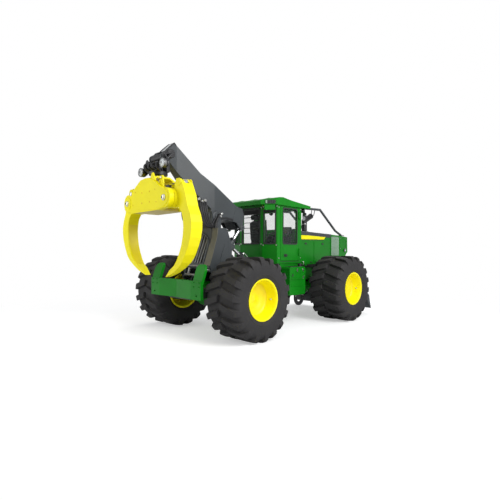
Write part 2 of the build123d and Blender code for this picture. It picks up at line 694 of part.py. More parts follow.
def brush_guard():
    """Bent tube from the roof's front corner down to the front of the hood, on the left."""
    path = [
        (ROOF_FRONT_X, CAB_Z1 + 30),
        (FRONT_AXLE_X + 190, CAB_Z1 + 50),
        (NOSE_BACK_X - 200, HOOD_TOP[1] + 150),
        (NOSE_BACK_X + 190, HOOD_TOP[1]),
    ]
    tube = None
    for start, end in zip(path, path[1:]):
        piece = bar((start[0], GUARD_Y, start[1]), (end[0], GUARD_Y, end[1]), GUARD_R)
        piece += Pos(end[0], GUARD_Y, end[1]) * Sphere(GUARD_R)
        tube = piece if tube is None else tube + piece
    reach = (GUARD_Y - 2 * GUARD_R, GUARD_Y + 2 * GUARD_R)
    return tube & block((ROOF_FRONT_X, BLADE_FRONT_X), reach, (HOOD_TOP[1] - 3, CAB_Z1 + ROOF_RISE))


def door(side):
    """Door panel with its window cut and the glass seated in it."""
    y = sorted((side * (CAB_HALF - CAB_WALL + 5), side * (CAB_HALF + 4)))
    x = (DOOR_X[0] + DOOR_GAP, DOOR_X[1] - DOOR_GAP)
    z = (DOOR_Z[0] + DOOR_GAP, DOOR_Z[1] - DOOR_GAP)
    cut_x = (x[0] + DOOR_FRAME, x[1] - DOOR_FRAME)
    cut_z = WINDOW_Z
    panel = block(x, y, z) - block(cut_x, (y[0] - 5, y[1] + 5), cut_z)
    # hinge barrels stand on the outside, at the front edge
    axis_x, axis_y = DOOR_HINGE[0], side * DOOR_HINGE[1]
    for z0 in HINGE_ROWS:
        leaf = sorted((side * (CAB_HALF - 20), axis_y))
        panel += block((axis_x - 40, axis_x), leaf, (z0, z0 + HINGE_H))
        panel += bar((axis_x, axis_y, z0), (axis_x, axis_y, z0 + HINGE_H), HINGE_R)
        panel -= bar((axis_x, axis_y, z0 - 1), (axis_x, axis_y, z0 + HINGE_H + 1), HINGE_BORE_R + RUNNING_FIT)
    mid = sum(y) / 2
    gap = SEAT_GAP
    pane = block(
        (cut_x[0] + gap, cut_x[1] - gap),
        (mid - GLASS_T / 2, mid + GLASS_T / 2),
        (cut_z[0] + gap, cut_z[1] - gap),
    )
    return panel, pane


# Blade

def blade():
    """Curved mouldboard with its cutting edge, push arms and the ears for the cylinders."""
    z0, z1 = BLADE_CLEAR, BLADE_CLEAR + BLADE_H
    tip = (BLADE_FRONT_X, 0, z0)
    lip = (BLADE_FRONT_X - BLADE_LEAN, 0, z1)
    curve = ThreePointArc(tip, (BLADE_FRONT_X - 135, 0, z0 + BLADE_H / 2), lip)
    back = [
        lip,
        (BLADE_FRONT_X - BLADE_LEAN - 50, 0, z1),
        (BLADE_FRONT_X - 240, 0, z0 + 610),
        (BLADE_FRONT_X - 220, 0, z0 + 250),
        (BLADE_FRONT_X - 50, 0, z0),
        tip,
    ]
    face = make_face(curve + Polyline(*back))
    board = Pos(0, -BLADE_HALF, 0) * extrude(face, amount=2 * BLADE_HALF, dir=(0, 1, 0))
    # upper corners cut off
    front = [(BLADE_HALF, z0), (BLADE_HALF, z1 - BLADE_CORNER[1]), (BLADE_HALF - BLADE_CORNER[0], z1)]
    front += [(-y, z) for y, z in reversed(front)]
    board &= cross_plate(front, BLADE_FRONT_X - 3 * BLADE_LEAN, BLADE_FRONT_X)
    root = (BLADE_FRONT_X - 200, z0 + 470)
    eye = CYLINDERS["blade"]["eye"]
    for side in (-1, 1):
        y = sorted((side * (BLADE_ARM_Y - BLADE_ARM_T / 2), side * (BLADE_ARM_Y + BLADE_ARM_T / 2)))
        arm = link_plate(BLADE_PIN, root, BLADE_ARM_R, *y)
        board += arm - across(*BLADE_PIN, y[0] - 5, y[1] + 5, PIN_R + RUNNING_FIT)
        board += ears(eye, (eye[0] + 170, eye[1] - 100), side * CYLINDERS["blade"]["y"], EYE_W, EAR_GAP)
    return board


# Rear body

def rear_frame():
    """Rails that drop behind the axle, hinge lugs, decks and the pivots of the arch."""
    neck_x = -RAIL_START - 100
    inside = RAIL_Y - RAIL_T
    tail_z = (RAIL_Z0 - 250, RAIL_Z0 - 20)
    drop_x = REAR_AXLE_X - DIFF_R - 2 * DIFF_CLEAR
    deck_x = REAR_AXLE_X - 90
    outline = [
        (neck_x, RAIL_Z1),
        (deck_x, RAIL_Z1),
        (deck_x - 200, tail_z[1]),
        (TAIL_X, tail_z[1]),
        (TAIL_X, tail_z[0]),
        (drop_x, tail_z[0]),
        (drop_x + 100, RAIL_Z0),
        (neck_x, RAIL_Z0),
    ]
    shape = both(side_plate(outline, inside, RAIL_Y))
    # cross plates: rear face, z limits
    for x, z in ((neck_x - 40, (RAIL_Z0, RAIL_Z1)), (TAIL_X, tail_z), (drop_x - 40, tail_z)):
        shape += block((x, x + 40), (-RAIL_Y, RAIL_Y), z)
    web_x = REAR_AXLE_X + DIFF_R + 3 * DIFF_CLEAR
    shape += block((deck_x, neck_x), (-RAIL_Y, RAIL_Y), (RAIL_Z1 - 30, RAIL_Z1))
    shape += block((web_x, neck_x), (-RAIL_Y, RAIL_Y), (RAIL_Z0, RAIL_Z0 + 30))
    # hinge lugs on the neck
    for z in HINGE_Z:
        lug = flat_link((0, 0), (neck_x + 70, 0), HINGE_LUG_R, z - HINGE_LUG_T / 2, z + HINGE_LUG_T / 2)
        shape += lug - bar((0, 0, z - 100), (0, 0, z + 100), HINGE_PIN_R + RUNNING_FIT)
    half = NECK_HALF - NECK_PLATE_T
    lug_z = (HINGE_Z[0] - HINGE_LUG_T / 2, HINGE_Z[1] + HINGE_LUG_T / 2)
    shape += block((neck_x - 60, neck_x + 110), (-half, half), lug_z)
    shape += block((web_x, neck_x - 40), (-half, half), (lug_z[0], HINGE_Z[0] + 40))
    shape += block((web_x, web_x + 40), (-half, half), (HINGE_Z[0], RAIL_Z0 + 10))
    # steering ears, above and below the cylinder's eye
    inner = EYE_W / 2 + EAR_GAP
    for side in (-1, 1):
        pin = (STEER_EYE[0], side * STEER_EYE[1])
        for z0 in (STEER_Z - inner - EAR_T, STEER_Z + inner):
            shape += flat_link(pin, (neck_x - 20, side * 300), EYE_R, z0, z0 + EAR_T)
        wall = sorted((side * (half - 20), side * (inside - 20)))
        shape += block((neck_x - 70, neck_x - 30), wall, (STEER_Z - inner - EAR_T, RAIL_Z0 + 10))
    # bases of the arch cylinders
    base = CYLINDERS["arch"]["base"]
    for side in (-1, 1):
        y = CYLINDERS["arch"]["y"]
        shape += ears_with_pin(base, (base[0] - 10, base[1] - 110), side * y)
        foot = sorted((side * (RAIL_Y - 20), side * (y + EYE_W / 2 + EAR_T)))
        shape += block((base[0] - 80, base[0] + 60), foot, (base[1] - 200, base[1] - 90))
    # arch pivots outside the rails
    reach = ARCH_HALF - ARCH_PLATE_T - 1
    for side in (-1, 1):
        y = sorted((side * (RAIL_Y - 20), side * reach))
        shape += link_plate(ARCH_PIN, (ARCH_PIN[0] + 150, ARCH_PIN[1] + 100), ARCH_PIN_R + 20, *y)
        pin = sorted((side * (RAIL_Y - 20), side * (ARCH_HALF + 20)))
        shape += across(*ARCH_PIN, *pin, ARCH_PIN_R)
    return shape


def rear_bumper():
    """Folded butt plate with its two end posts."""
    x, fold = TAIL_X, BUMPER_FOLD
    out = x - 130
    inner, outer = POST_Y
    left = [(x, 360), (x - fold, inner), (x - fold, outer), (out, outer), (out, inner - 40), (x - 70, 0)]
    plan = left + [(px, -py) for px, py in reversed(left[:-1])]
    plate = deck_plate(plan, *BUMPER_Z)
    post = [(inner, BUMPER_Z[0]), (outer, BUMPER_Z[0]), (outer, POST_TOP - 130), (outer - 40, POST_TOP - 40)]
    post += [(outer - 110, POST_TOP), (inner + 60, POST_TOP), (inner, POST_TOP - 60)]
    # the posts stand up, then lean forward
    bend = BUMPER_Z[1] - 80
    lean = [(out, BUMPER_Z[0]), (x - fold, BUMPER_Z[0]), (x - fold, bend), (x - fold + POST_LEAN, POST_TOP)]
    lean += [(out + POST_LEAN, POST_TOP), (out, bend)]
    shaped = cross_plate(post, out, x - fold + POST_LEAN) & side_plate(lean, inner, outer)
    plate += both(shaped)
    tie_x, tie_y, tie_z = TIE_REAR
    return plate - both(bar((tie_x - 100, tie_y, tie_z), (tie_x + 100, tie_y, tie_z), TIE_R))


def winch():
    """Winch drum on its side plates."""
    x, z = WINCH_AT
    plate = (150, 175)
    side = block((x - DRUM_FLANGE_R, x + DRUM_FLANGE_R), plate, (RAIL_Z1, z + 40))
    side += across(x, z, plate[0] - 5, plate[1] + 5, DRUM_FLANGE_R)
    return both(side) + across(x, z, -plate[0], plate[0], DRUM_R)


# Arch

def arch():
    """Two side frames, the neck that carries the boom pin, and the barred rear panel."""
    # points from the arch's pivot
    outline = [
        (0, -120),
        (-110, -50),
        (-140, 100),
        (-290, 450),
        (-200, 710),
        (-80, 1090),
        (-50, 1310),
        (160, 1310),
        (260, 1220),
        (400, 900),
        (370, 490),
        (110, -50),
    ]
    px, pz = ARCH_PIN
    side = side_plate(moved(outline, ARCH_PIN), ARCH_HALF - ARCH_PLATE_T, ARCH_HALF)
    side -= across(px, pz, ARCH_HALF - 200, ARCH_HALF + 10, ARCH_PIN_R + RUNNING_FIT)
    ear_y = ARCH_NECK_HALF - NECK_EAR_T
    neck = [(-50, 1250), (-40, 1710), (220, 1710), (250, 1450), (250, 1250)]
    ear = side_plate(moved(neck, ARCH_PIN), ear_y, ARCH_NECK_HALF)
    shoulder = block((px - 50, px + 220), (ear_y, ARCH_HALF), (pz + 1250, pz + 1310))
    shape = both(side + ear + shoulder)
    shape += across(*BOOM_PIN, -ARCH_NECK_HALF - 15, ARCH_NECK_HALF + 15, BOOM_PIN_R)
    # rear panel: a sloping strip with a round-topped window and upright bars
    rear_edge = [(-290, 450), (-200, 710), (-80, 1090), (-50, 1310)]
    strip = rear_edge + [(u + 35, v) for u, v in reversed(rear_edge)]
    panel = side_plate(moved(strip, ARCH_PIN), -ARCH_HALF + 10, ARCH_HALF - 10)
    through = (px - 390, px + 110)
    window = block(through, (-360, 360), (pz + 510, pz + 910))
    window += Pos(px - 140, 0, pz + 910) * Rot(0, 90, 0) * Cylinder(290, 500)
    panel -= window & block(through, (-330, 330), (pz + 510, pz + 1190))
    for y in (-200, -100, 0, 100, 200):
        panel += bar((px - 252, y, pz + 505), (px - 90, y, pz + 1120), 14)
    shape += panel
    shape += across(px - 240, pz + 410, -ARCH_HALF + 20, ARCH_HALF - 20, 50)
    # cross beam that carries the boom cylinders, and ears of the arch cylinders
    base = CYLINDERS["boom"]["base"]
    beam = (base[0] - 130, base[1] + 45)
    shape += across(*beam, -ARCH_HALF + 20, ARCH_HALF - 20, 55)
    eye = CYLINDERS["arch"]["eye"]
    for side in (-1, 1):
        shape += ears_with_pin(base, beam, side * CYLINDERS["boom"]["y"])
        shape += ears(eye, (eye[0] - 170, eye[1] + 30), side * CYLINDERS["arch"]["y"], EYE_W, EAR_GAP)
    shape += across(px + 265, pz + 910, -ARCH_HALF + 20, ARCH_HALF - 20, 55)
    return shape


# Boom

def boom():
    """Bent box boom with the lugs for its pin, its cylinders and the hanging head."""
    # points from the boom's pivot
    outline = [
        (-1010, 1580),
        (-370, 980),
        (720, 300),
        (920, 260),
        (980, 100),
        (950, -260),
        (860, -270),
        (720, -100),
        (390, -50),
        (80, -90),
        (-90, -50),
        (-90, 180),
        (-620, 630),
        (-1170, 1160),
        (-1225, 1360),
    ]
    inner = [
        (-1040, 1500),
        (-380, 915),
        (680, 250),
        (870, 220),
        (890, -40),
        (-70, 240),
        (-600, 690),
        (-1120, 1210),
        (-1160, 1350),
    ]
    # the arm narrows from its pivot to its nose
    plan = [(BOOM_PIN[0] + 1100, BOOM_HALF), (BOOM_TAPER[1], BOOM_HALF), (BOOM_TAPER[0], BOOM_NOSE_HALF)]
    plan += [(BOOM_TAPER[0] - 500, BOOM_NOSE_HALF)]
    room = [(x, y - BOOM_WALL) for x, y in plan]
    outside = deck_plate(plan + [(x, -y) for x, y in reversed(plan)], BOOM_PIN[1] - 400, BOOM_PIN[1] + 1700)
    inside = deck_plate(room + [(x, -y) for x, y in reversed(room)], BOOM_PIN[1] - 400, BOOM_PIN[1] + 1700)
    shape = side_plate(moved(outline, BOOM_PIN), -BOOM_HALF, BOOM_HALF) & outside
    shape -= side_plate(moved(inner, BOOM_PIN), -BOOM_HALF, BOOM_HALF) & inside
    shape -= across(*BOOM_PIN, -BOOM_HALF - 5, BOOM_HALF + 5, BOOM_PIN_R + RUNNING_FIT)
    # slots for the eyes of the boom cylinders
    eye = CYLINDERS["boom"]["eye"]
    slot = EYE_W / 2 + EAR_GAP
    for side in (-1, 1):
        y = side * CYLINDERS["boom"]["y"]
        shape -= block((eye[0] - 330, eye[0] + 200), (y - slot, y + slot), (eye[1] - 200, eye[1] + 160))
    # nose ears either side of the crosshead
    x, z = HANG_PIN
    reach = NOSE_EAR_Y + NOSE_EAR_T
    nose_tube = (x + 150, z + 90)
    for side in (-1, 1):
        y = sorted((side * NOSE_EAR_Y, side * reach))
        shape += link_plate(HANG_PIN, nose_tube, 85, *y)
    shape += across(*nose_tube, -reach, reach, NOSE_TUBE_R)
    pin = across(*HANG_PIN, -reach - 15, reach + 15, PIN_R)
    mouth = block((x - 130, x + 100), (-NOSE_EAR_Y + 1, NOSE_EAR_Y - 1), (z - 150, z + 150))
    return shape + pin - (mouth - pin)


def work_lamps():
    """Two round lamps on arms beside the hanging head, facing back."""
    x, z = HANG_PIN
    y0 = NOSE_EAR_Y + NOSE_EAR_T
    lamps = []
    # side, drop of the lamp below the hang pin
    for side, drop in ((-1, 180), (1, 275)):
        y = side * LAMP_Y
        root = (x + 150, side * (y0 + 30), z + 90)
        arm = across(root[0], root[2], *sorted((side * y0, side * (y0 + 45))), 45)
        arm += bar(root, (x - 100, y, z - drop + 60), 20)
        lamps.append(arm + bar((x - 180, y, z - drop), (x - 100, y, z - drop), LAMP_R))
    return lamps


# Hanging head

def crosshead():
    """Swivel block between the boom's nose and the rotator, with a pin each way."""
    x, z = HANG_PIN
    half = NOSE_EAR_Y - 5
    eye = across(x, z, -half, half, SWAY_EYE_R) - across(x, z, -half - 5, half + 5, PIN_R + RUNNING_FIT)
    eye += block((x - 45, x + 45), (-60, 60), (SWAY_Z, z - 50))
    eye += bar((x - 45, 0, SWAY_Z), (x + 45, 0, SWAY_Z), SWAY_EYE_R)
    return eye - bar((x - 50, 0, SWAY_Z), (x + 50, 0, SWAY_Z), PIN_R + RUNNING_FIT)


def rotator():
    """Fork on the sway pin and the round motor under it."""
    x = HANG_PIN[0]
    shape = Pos(x, 0, ROTATOR_Z0 + ROTATOR_H / 2) * Cylinder(ROTATOR_R, ROTATOR_H)
    for side in (-1, 1):
        cheek = sorted((x + side * 47, x + side * 77))
        shape += block(cheek, (-70, 70), (ROTATOR_Z0 + ROTATOR_H / 2, SWAY_Z))
        shape += bar((cheek[0], 0, SWAY_Z), (cheek[1], 0, SWAY_Z), 70)
    shape += bar((x - 85, 0, SWAY_Z), (x + 85, 0, SWAY_Z), PIN_R)
    return shape + bar((x, 0, HEAD_TOP - HEAD_TOP_T + 5), (x, 0, ROTATOR_Z0 + 10), NECK_R)


def grapple_head():
    """Two end plates with the tongs' pins between them, and the beams that join them."""
    x = HANG_PIN[0]
    py, pz = TONG_PIN
    plate_top = HEAD_TOP - HEAD_CROWN
    # half outline of an end plate, from the tong pin's height
    half_plate = [(py - 240, pz - 225), (py, pz - 190), (py + 60, pz + 150), (py - 180, pz + 230)]
    half_plate += [(430, plate_top - 90), (230, plate_top)]
    outline = half_plate + [(-y, z) for y, z in reversed(half_plate)]
    ends = []
    for side in (-1, 1):
        ends.append(sorted((x + side * HEAD_HALF_X, x + side * (HEAD_HALF_X - HEAD_PLATE_T))))
    span = (x - HEAD_HALF_X + 5, x + HEAD_HALF_X - 5)
    shape = block(span, (-280, 280), (pz - 180, pz + 160))
    # crowned top under the rotator
    half_crown = [(HEAD_HALF_X - 5, plate_top - 40), (HEAD_HALF_X - 5, plate_top), (150, HEAD_TOP)]
    crown = [(x + u, z) for u, z in half_crown] + [(x - u, z) for u, z in reversed(half_crown)]
    crown += [(x - 150, HEAD_TOP - HEAD_TOP_T), (x + 150, HEAD_TOP - HEAD_TOP_T)]
    shape += side_plate(crown, -230, 230)
    for lo, hi in ends:
        shape += cross_plate(outline, lo, hi)
        for y in (-py, py):
            shape += bar((lo, y, pz), (hi, y, pz), TONG_LOBE_R)
    for y in (-py, py):
        shape += bar((x - HEAD_HALF_X - TONG_PIN_HEAD, y, pz), (x + HEAD_HALF_X, y, pz), PIN_R)
    return shape - bar((x, 0, HEAD_TOP - HEAD_TOP_T - 1), (x, 0, HEAD_TOP + 10), NECK_R + RUNNING_FIT)


def tong(side):
    """Curved box-section tong hung on its pin, with the arm above the pin for the cylinder."""
    x = HANG_PIN[0]
    py, pz = TONG_PIN
    # points from the pin: the arm's top and the outer edge down to the tip, then the inner edge back up
    outer = [(130, 380), (200, 375), (330, 290), (385, 200), (460, 40), (530, -180), (630, -360), (670, -500)]
    outer += [(670, -630), (630, -800), (555, -960), (450, -1130), (320, -1280), (150, -1395), (-65, -1505)]
    inner = [(-370, -1595), (-180, -1450), (20, -1350), (170, -1220), (260, -1080), (330, -930), (375, -760)]
    inner += [(393, -590), (375, -440), (330, -300), (220, -200), (0, -190), (-120, -100), (-120, 60), (40, 190)]
    shape = cross_plate(moved(outer + inner, TONG_PIN), x - TONG_T / 2, x + TONG_T / 2)
    hub = HEAD_HALF_X - HEAD_PLATE_T - 10
    shape += bar((x - hub, py, pz), (x + hub, py, pz), TONG_LOBE_R - 5)
    # thinner towards the tip
    tip_z = pz - 1600
    taper = [(TONG_TIP_T / 2, tip_z), (TONG_T / 2, tip_z + 400), (hub, pz - 300), (hub, pz + 400)]
    taper = [(x + u, z) for u, z in taper] + [(x - u, z) for u, z in reversed(taper)]
    shape &= side_plate(taper, py - 500, py + 700)
    shape -= bar((x - TONG_T, py, pz), (x + TONG_T, py, pz), PIN_R + RUNNING_FIT)
    cy, cz = GRAPPLE_CYL_PIN
    slot = EYE_W / 2 + (EAR_GAP if side < 0 else 1)
    shape -= block((x - slot, x + slot), (cy - 330, cy + 100), (cz - 110, cz + 200))
    if side > 0:
        shape += bar((x - TONG_T / 2, cy, cz), (x + TONG_T / 2, cy, cz), GRAPPLE_PIN_R)
    return shape if side > 0 else mirrored(shape)


def yawed(solid):
    """A piece of the hanging head, turned about the rotator's axis as the photo shows it."""
    x = HANG_PIN[0]
    return Pos(x, 0, 0) * Rot(0, 0, HEAD_YAW) * Pos(-x, 0, 0) * solid


def grapple_cylinder():
    """Barrel on the left tong's arm and rod to the right tong's arm."""
    x = HANG_PIN[0]
    cy, cz = GRAPPLE_CYL_PIN
    plane = Plane(origin=(x, cy, cz), x_dir=(0, 0, -1), z_dir=(0, -1, 0))
    barrel = cylinder_barrel(
        GRAPPLE_BARREL, GRAPPLE_BARREL_R, GRAPPLE_ROD_R, GRAPPLE_NECK, GRAPPLE_EYE_R, GRAPPLE_PIN_R
    )
    rod = cylinder_rod(2 * cy, GRAPPLE_NECK + 655, GRAPPLE_ROD_R, GRAPPLE_EYE_R)
    return plane * barrel, plane * rod


def steering(side):
    """Steering cylinder from the front frame's rail to the rear frame's ear."""
    base = Vector(STEER_BASE[0], side * STEER_BASE[1], STEER_Z)
    eye = Vector(STEER_EYE[0], side * STEER_EYE[1], STEER_Z)
    axis = eye - base
    plane = Plane(origin=base, x_dir=axis.cross(Vector(0, 0, 1)), z_dir=axis)
    barrel = plane * cylinder_barrel(STEER_BARREL, STEER_BARREL_R, STEER_ROD_R, CYL_NECK)
    rod = plane * cylinder_rod(axis.length, STEER_BARREL - 300, STEER_ROD_R)
    return barrel, rod


wheels()
save("front_frame", front_frame())
save("front_axle", axle(FRONT_AXLE_X, RAIL_Z0))
save("rear_axle", axle(REAR_AXLE_X, RAIL_Z0))
save("hood", hood())
save("engine_block", engine_block())
save("radiator_housing", radiator_housing())
save("side_steps", *side_steps())
save("step_loops", *step_loops())
save("cab_shell", cab_shell())
save("cab_roof", cab_roof())
save("cab_glass", *cab_glass())
save("cab_interior", *cab_interior())
save("exhaust_stack", exhaust_stack())
save("brush_guard", brush_guard(), mirrored(brush_guard()))
for name, side in (("left", 1), ("right", -1)):
    panel, pane = door(side)
    save(f"door_{name}", panel)
    save(f"door_glass_{name}", pane)
    barrel, rod = steering(side)
    save(f"steer_barrel_{name}", barrel)
    save(f"steer_rod_{name}", rod)
    save(f"tong_{name}", yawed(tong(side)))
save("blade", blade())
save("rear_frame", rear_frame())
save("rear_bumper", rear_bumper())
save("winch", winch())
save("arch", arch())
save("boom", boom())
save("work_lamps", *work_lamps())
save("crosshead", crosshead())
save("rotator", rotator())
save("grapple_head", yawed(grapple_head()))
barrel, rod = grapple_cylinder()
save("grapple_barrel", yawed(barrel))
save("grapple_rod", yawed(rod))
for name, spec in CYLINDERS.items():
    left = laid_cylinder(spec, spec["y"])
    right = laid_cylinder(spec, -spec["y"])
    save(f"{name}_barrels", left[0], right[0])
    save(f"{name}_rods", left[1], right[1])
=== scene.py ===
import bpy
import bmesh
import json
import math
from mathutils import Matrix, Vector


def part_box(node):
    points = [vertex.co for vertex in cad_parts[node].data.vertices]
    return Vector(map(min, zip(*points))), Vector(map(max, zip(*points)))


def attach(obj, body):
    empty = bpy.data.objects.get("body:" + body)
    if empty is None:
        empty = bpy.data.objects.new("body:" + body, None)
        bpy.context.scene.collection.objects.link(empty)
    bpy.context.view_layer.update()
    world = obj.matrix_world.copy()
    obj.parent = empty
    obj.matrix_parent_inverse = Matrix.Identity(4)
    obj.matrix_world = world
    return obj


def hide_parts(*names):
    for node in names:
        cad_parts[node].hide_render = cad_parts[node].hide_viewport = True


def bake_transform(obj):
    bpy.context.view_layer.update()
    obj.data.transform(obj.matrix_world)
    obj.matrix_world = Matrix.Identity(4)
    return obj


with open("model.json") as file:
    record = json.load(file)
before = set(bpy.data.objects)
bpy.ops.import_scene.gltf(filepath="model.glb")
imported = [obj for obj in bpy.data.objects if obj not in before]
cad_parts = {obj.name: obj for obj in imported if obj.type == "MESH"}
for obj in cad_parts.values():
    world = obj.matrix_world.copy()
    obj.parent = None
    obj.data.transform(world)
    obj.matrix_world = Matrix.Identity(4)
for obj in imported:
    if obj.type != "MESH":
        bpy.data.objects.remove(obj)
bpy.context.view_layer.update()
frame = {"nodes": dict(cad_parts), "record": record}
nodes = frame["nodes"]
scene = bpy.context.scene

# Camera solved from the photograph: place, direction, roll and focal length for a 500 pixel frame
CAMERA_AT = (-7.972, -7.350, 1.946)
CAMERA_YAW = math.radians(44.12)
CAMERA_PITCH = math.radians(0.07)
CAMERA_ROLL = math.radians(0.314)
FOCAL_PX = 392.4
FRAME_PX = 500
SENSOR_MM = 36.0

# Square soft lights: name, place, target, size and watts
LIGHTS = (
    ("key", (-1.5, -9.5, 7.0), (0, 0, 1.4), 6.0, 900),
    ("fill", (-9.5, 3.5, 4.5), (0, 0, 1.5), 5.0, 230),
    ("front", (9.0, 2.0, 6.0), (0, 0, 1.5), 6.0, 350),
)
SKY_STRENGTH = 0.50
FLOOR_HALF = 60
FLOOR_GLOW = 0.42
# distances from the machine's middle between which the floor fades to white
FLOOR_FADE = (4.5, 9.0)

SIDES = ((-1, "right"), (1, "left"))
FORWARD = (1, 0, 0)
ACROSS = (0, 1, 0)
UP = (0, 0, 1)


# Camera, light and floor

def wire(tree, kind, *values, **settings):
    """Shader node. Values fill its first inputs; settings name an input or, in small letters, a property."""
    node = tree.nodes.new("ShaderNode" + kind)
    pairs = list(enumerate(values))
    for key, value in settings.items():
        if key.islower():
            setattr(node, key, value)
        else:
            pairs.append((key.replace("_", " "), value))
    for key, value in pairs:
        if isinstance(value, bpy.types.NodeSocket):
            tree.links.new(value, node.inputs[key])
        else:
            node.inputs[key].default_value = value
    return node


def empty_tree(owner):
    """Node tree of a world or material, with nothing in it."""
    owner.use_nodes = True
    owner.node_tree.nodes.clear()
    return owner.node_tree


def add_camera():
    """Camera at the photograph's place."""
    ahead = Vector((math.cos(CAMERA_YAW), math.sin(CAMERA_YAW), math.tan(CAMERA_PITCH))).normalized()
    right = ahead.cross(Vector(UP)).normalized()
    up = right.cross(ahead)
    c, s = math.cos(CAMERA_ROLL), math.sin(CAMERA_ROLL)
    turn = Matrix((c * right + s * up, c * up - s * right, -ahead)).transposed().to_4x4()
    data = bpy.data.cameras.new("camera")
    data.sensor_width = SENSOR_MM
    data.lens = FOCAL_PX / FRAME_PX * SENSOR_MM
    data.clip_end = 200
    camera = bpy.data.objects.new("camera", data)
    camera.matrix_world = Matrix.Translation(CAMERA_AT) @ turn
    scene.collection.objects.link(camera)
    scene.camera = camera


def add_light(name, place, target, size, watts):
    """Square soft light aimed at a point."""
    data = bpy.data.lights.new(name, "AREA")
    data.size = size
    data.energy = watts
    lamp = bpy.data.objects.new(name, data)
    aim = Vector(target) - Vector(place)
    lamp.matrix_world = Matrix.Translation(place) @ aim.to_track_quat("-Z", "Y").to_matrix().to_4x4()
    scene.collection.objects.link(lamp)


def add_world():
    """Even pale light, with a white backdrop for the camera and for what shows through glass."""
    scene.world = bpy.data.worlds.new("studio")
    tree = empty_tree(scene.world)
    ray = wire(tree, "LightPath").outputs
    seen = wire(tree, "Math", ray["Is Camera Ray"], ray["Is Transmission Ray"], operation="MAXIMUM")
    light = wire(tree, "Background", (0.97, 0.98, 1.0, 1), SKY_STRENGTH)
    white = wire(tree, "Background", (1, 1, 1, 1))
    mix = wire(tree, "MixShader", seen.outputs[0], light.outputs[0], white.outputs[0])
    wire(tree, "OutputWorld", mix.outputs[0])


def add_floor():
    """Pale floor that keeps the shadow near the machine and fades to the backdrop's white."""
    mesh = bpy.data.meshes.new("floor")
    corners = [(u * FLOOR_HALF, v * FLOOR_HALF, 0) for u, v in ((-1, -1), (1, -1), (1, 1), (-1, 1))]
    mesh.from_pydata(corners, [], [(0, 1, 2, 3)])
    floor = bpy.data.objects.new("floor", mesh)
    scene.collection.objects.link(floor)
    mat = bpy.data.materials.new("floor")
    tree = empty_tree(mat)
    ray = wire(tree, "LightPath").outputs
    diffuse = wire(tree, "BsdfDiffuse", (0.78, 0.78, 0.78, 1))
    glow = wire(tree, "Math", ray["Is Camera Ray"], FLOOR_GLOW, operation="MULTIPLY")
    shine = wire(tree, "Emission", Strength=glow.outputs[0])
    near = wire(tree, "AddShader", diffuse.outputs[0], shine.outputs[0])
    distance = wire(tree, "VectorMath", wire(tree, "TexCoord").outputs["Object"], operation="LENGTH")
    near_edge, far_edge = FLOOR_FADE
    far = wire(tree, "MapRange", Value=distance.outputs["Value"], From_Min=near_edge, From_Max=far_edge,
               interpolation_type="SMOOTHSTEP")
    seen = wire(tree, "Math", ray["Is Camera Ray"], ray["Is Glossy Ray"], operation="MAXIMUM")
    clear = wire(tree, "Math", seen.outputs[0], ray["Is Transmission Ray"], operation="MAXIMUM")
    share = wire(tree, "Math", far.outputs["Result"], clear.outputs[0], operation="MULTIPLY")
    white = wire(tree, "Emission")
    mix = wire(tree, "MixShader", share.outputs[0], near.outputs[0], white.outputs[0])
    wire(tree, "OutputMaterial", mix.outputs[0])
    mesh.materials.append(mat)


add_camera()
add_world()
for light in LIGHTS:
    add_light(*light)
add_floor()
scene.view_settings.view_transform = "Standard"


# Materials

def new_material(name):
    """Material with its node tree and its main shader."""
    mat = bpy.data.materials.new(name)
    mat.use_nodes = True
    return mat, mat.node_tree, mat.node_tree.nodes["Principled BSDF"]


def surface(name, colour, roughness, metallic=0.0, coat=0.0, shade=0.12, grain=60.0, bump=0.002, edge=0.004,
            dust=0.0, specular=0.5):
    """Painted, rubber or metal surface with slow colour drift, fine grain, dust and rounded-looking edges."""
    mat, tree, shader = new_material(name)
    plain = {"Metallic": metallic, "Coat Weight": coat, "Coat Roughness": 0.12}
    plain["Specular IOR Level"] = specular
    for key, value in plain.items():
        shader.inputs[key].default_value = value
    place = wire(tree, "TexCoord").outputs["Object"]
    drift = wire(tree, "TexNoise", Vector=place, Scale=1.7, Detail=4.0, Roughness=0.6).outputs["Fac"]
    fine = wire(tree, "TexNoise", Vector=place, Scale=grain, Detail=3.0, Roughness=0.6).outputs["Fac"]
    tone = wire(tree, "MapRange", Value=drift, From_Min=0.3, From_Max=0.7,
                To_Min=1.0 - shade, To_Max=1.0 + shade)
    base = wire(tree, "VectorMath", colour, Scale=tone.outputs["Result"], operation="SCALE").outputs["Vector"]
    if dust:
        upward = wire(tree, "SeparateXYZ", wire(tree, "NewGeometry").outputs["Normal"]).outputs["Z"]
        lay = wire(tree, "MapRange", Value=upward, To_Max=dust)
        cloud = wire(tree, "Math", lay.outputs["Result"], fine, operation="MULTIPLY")
        mix = wire(tree, "Mix", data_type="RGBA", Factor=cloud.outputs[0], A=base, B=(0.30, 0.27, 0.22, 1))
        base = mix.outputs["Result"]
    rough = wire(tree, "MapRange", Value=fine, To_Min=roughness * 0.85, To_Max=min(1.0, roughness * 1.2))
    normal = wire(tree, "Bump", Height=fine, Distance=bump, Strength=0.35)
    if edge:
        round_off = wire(tree, "Bevel", Radius=edge, samples=4)
        tree.links.new(round_off.outputs["Normal"], normal.inputs["Normal"])
    tree.links.new(base, shader.inputs["Base Color"])
    tree.links.new(rough.outputs["Result"], shader.inputs["Roughness"])
    tree.links.new(normal.outputs["Normal"], shader.inputs["Normal"])
    return mat


